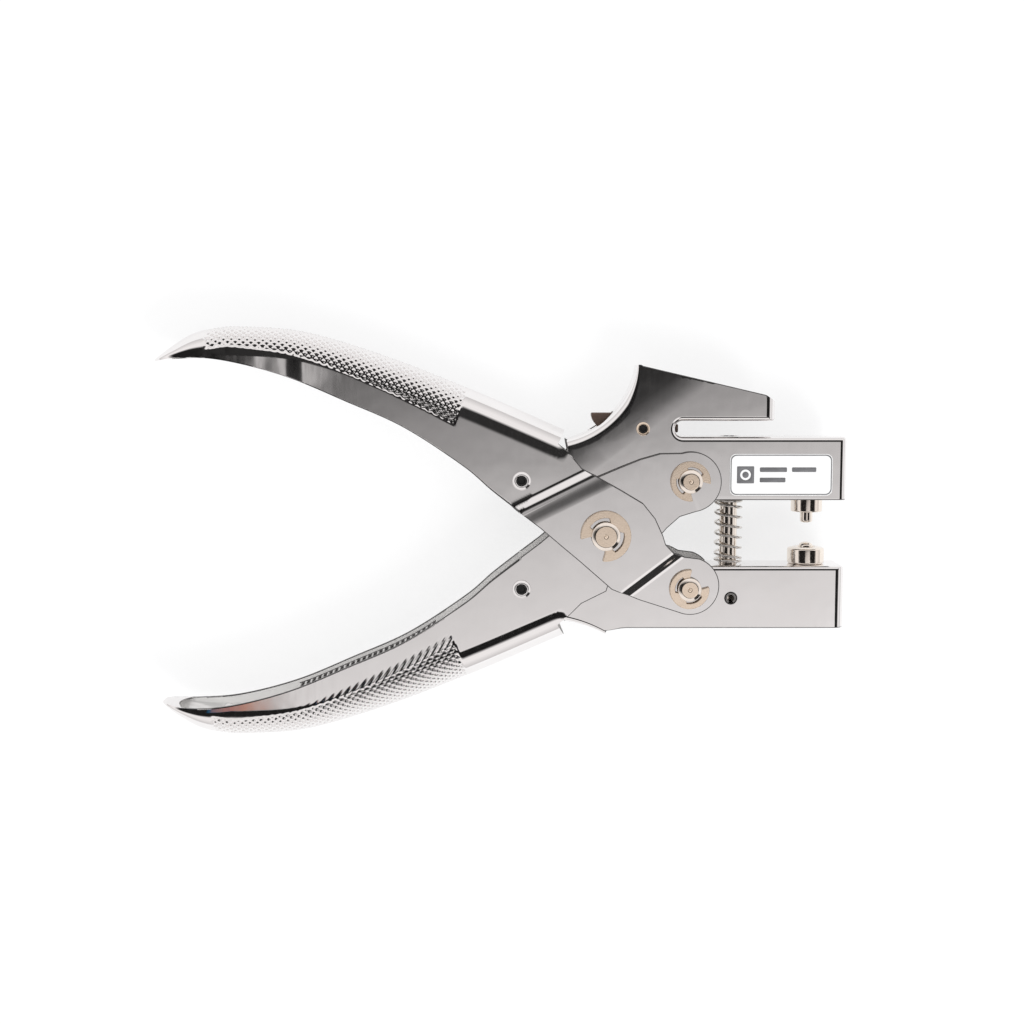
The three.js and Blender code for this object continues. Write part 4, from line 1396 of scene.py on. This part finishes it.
class Sky:
    """The studio round the tool, painted by direction: x and y of a ray that goes up."""

    def __init__(self):
        world = bpy.data.worlds.new("studio")
        bpy.context.scene.world = world
        world.use_nodes = True
        self.tree = world.node_tree
        coordinates = self.tree.nodes.new("ShaderNodeTexCoord")
        split = self.tree.nodes.new("ShaderNodeSeparateXYZ")
        self.tree.links.new(coordinates.outputs["Generated"], split.inputs["Vector"])
        self.x, self.y, self.z = split.outputs

    def math(self, operation, a, b):
        node = self.tree.nodes.new("ShaderNodeMath")
        node.operation = operation
        for socket, value in zip(node.inputs, (a, b)):
            if isinstance(value, (int, float)):
                socket.default_value = value
            else:
                self.tree.links.new(value, socket)
        return node.outputs["Value"]

    def step(self, value, low, high):
        """0 at low and 1 at high, with soft ends; low may be the larger."""
        node = self.tree.nodes.new("ShaderNodeMapRange")
        node.interpolation_type = "SMOOTHSTEP"
        first, last = sorted((low, high))
        node.inputs["From Min"].default_value = first
        node.inputs["From Max"].default_value = last
        node.inputs["To Min"].default_value = 0.0 if low < high else 1.0
        node.inputs["To Max"].default_value = 1.0 if low < high else 0.0
        self.tree.links.new(value, node.inputs["Value"])
        return node.outputs["Result"]

    def ramp(self, value, low, high, stops):
        """A grey between stops of (position, brightness), over low to high."""
        node = self.tree.nodes.new("ShaderNodeValToRGB")
        elements = node.color_ramp.elements
        while len(elements) < len(stops):
            elements.new(0.5)
        for element, (position, level) in zip(elements, stops):
            element.position = (position - low) / (high - low)
            element.color = (level, level, level, 1)
        shifted = self.math("DIVIDE", self.math("SUBTRACT", value, low), high - low)
        self.tree.links.new(shifted, node.inputs["Fac"])
        return self.math("ADD", node.outputs["Color"], 0.0)

    def spot(self, x, y, radius):
        """A soft round patch about one direction."""
        dx, dy = self.math("SUBTRACT", self.x, x), self.math("SUBTRACT", self.y, y)
        away = self.math("ADD", self.math("MULTIPLY", dx, dx), self.math("MULTIPLY", dy, dy))
        return self.step(away, radius * radius, 0.0)

    def times(self, a, b):
        return self.math("MULTIPLY", a, b)

    def without(self, level, share):
        """A level with a share of it taken away."""
        return self.times(level, self.math("SUBTRACT", 1.0, share))

    def colour(self, factor, tint, base):
        """base plus tint where factor is 1."""
        node = self.tree.nodes.new("ShaderNodeVectorMath")
        node.operation = "MULTIPLY_ADD"
        node.inputs[1].default_value = tint
        self.tree.links.new(factor, node.inputs[0])
        self.tree.links.new(base, node.inputs[2])
        return node.outputs["Vector"]


def make_world():
    """A soft overhead panel, feathered to dark, a dark ring round it and white low down."""
    sky = Sky()
    # The panel overhead, brighter towards the lower handle's side, with feathered ends.
    slant = sky.math("SUBTRACT", sky.times(sky.x, 0.25), sky.y)
    panel = sky.ramp(slant, -0.15, 0.35, [
        (-0.10, 0.015), (-0.03, 0.12), (0.02, 0.29), (0.06, 0.38), (0.09, 0.56), (0.14, 0.68),
        (0.20, 0.80), (0.30, 0.84),
    ])
    for axis, low, high in ((sky.x, -0.225, -0.18), (sky.x, 0.32, 0.25), (sky.y, -0.28, -0.235)):
        panel = sky.times(panel, sky.step(axis, low, high))
    # White walls low down, and a doorway in them with a bright strip above and dark within.
    rise = sky.math("ADD", sky.z, sky.times(sky.times(sky.x, sky.x), 0.25))
    low_down = sky.step(rise, 0.81, 0.67)
    walls = sky.times(low_down, sky.ramp(sky.z, 0, 1, [(0, 0.66), (0.45, 0.97)]))
    turn = sky.math("ARCTAN2", sky.y, sky.x)
    door = sky.times(
        sky.step(turn, math.radians(-64), math.radians(-58)),
        sky.step(turn, math.radians(-26), math.radians(-34)),
    )
    strip = sky.times(door, sky.step(sky.z, 0.975, 0.955))
    dark = sky.times(sky.step(sky.z, 0.70, 0.62), sky.step(sky.z, 0.05, 0.15))
    dark = sky.times(sky.times(door, dark), 0.98)
    walls = sky.without(sky.math("MAXIMUM", walls, strip), dark)
    # Two dark spots and a light one, which the handles' tips and the dent show.
    for x, y, radius in ((-0.205, -0.24, 0.06), (-0.215, 0.02, 0.05)):
        panel = sky.without(panel, sky.spot(x, y, radius))
    panel = sky.math("MAXIMUM", panel, sky.times(sky.spot(-0.150, 0.004, 0.034), 0.55))
    level = sky.math("ADD", sky.math("MAXIMUM", panel, walls), 0.012)
    # A slightly warm white, with a blue and a red patch that the lower handle's tip shows.
    warm = sky.tree.nodes.new("ShaderNodeCombineXYZ")
    for socket, share in zip(warm.inputs, (1.0, 0.975, 0.97)):
        sky.tree.links.new(sky.times(level, share), socket)
    seen = sky.colour(sky.spot(-0.22, -0.235, 0.045), (0.0, 0.06, 0.13), warm.outputs["Vector"])
    seen = sky.colour(sky.spot(-0.185, -0.225, 0.024), (0.42, 0.14, 0.06), seen)
    background = sky.tree.nodes["Background"]
    sky.tree.links.new(seen, background.inputs["Color"])
    # Only reflections see the studio; everything else is lit by an even white.
    pale = sky.tree.nodes.new("ShaderNodeBackground")
    pale.inputs["Color"].default_value = (1, 1, 1, 1)
    rays = sky.tree.nodes.new("ShaderNodeLightPath")
    mix = sky.tree.nodes.new("ShaderNodeMixShader")
    sky.tree.links.new(rays.outputs["Is Glossy Ray"], mix.inputs["Fac"])
    sky.tree.links.new(pale.outputs["Background"], mix.inputs[1])
    sky.tree.links.new(background.outputs["Background"], mix.inputs[2])
    sky.tree.links.new(mix.outputs["Shader"], sky.tree.nodes["World Output"].inputs["Surface"])


def make_camera():
    """Looks almost straight down on the tool, from a little towards the upper handle."""
    target, back = place((-26.2, 6.6, HANDLE_HALF)), Vector((0, 38.3, 400))
    camera_data = bpy.data.cameras.new("camera")
    camera_data.lens = 50.4
    camera_data.sensor_width = 36
    camera = bpy.data.objects.new("camera", camera_data)
    camera.location = target + back * MM
    camera.rotation_euler = (-math.atan2(back.y, back.z), 0, 0)
    bpy.context.scene.collection.objects.link(camera)
    bpy.context.scene.camera = camera


make_floor()
make_world()
make_lamp()
make_camera()
bpy.context.scene.view_settings.view_transform = "Standard"
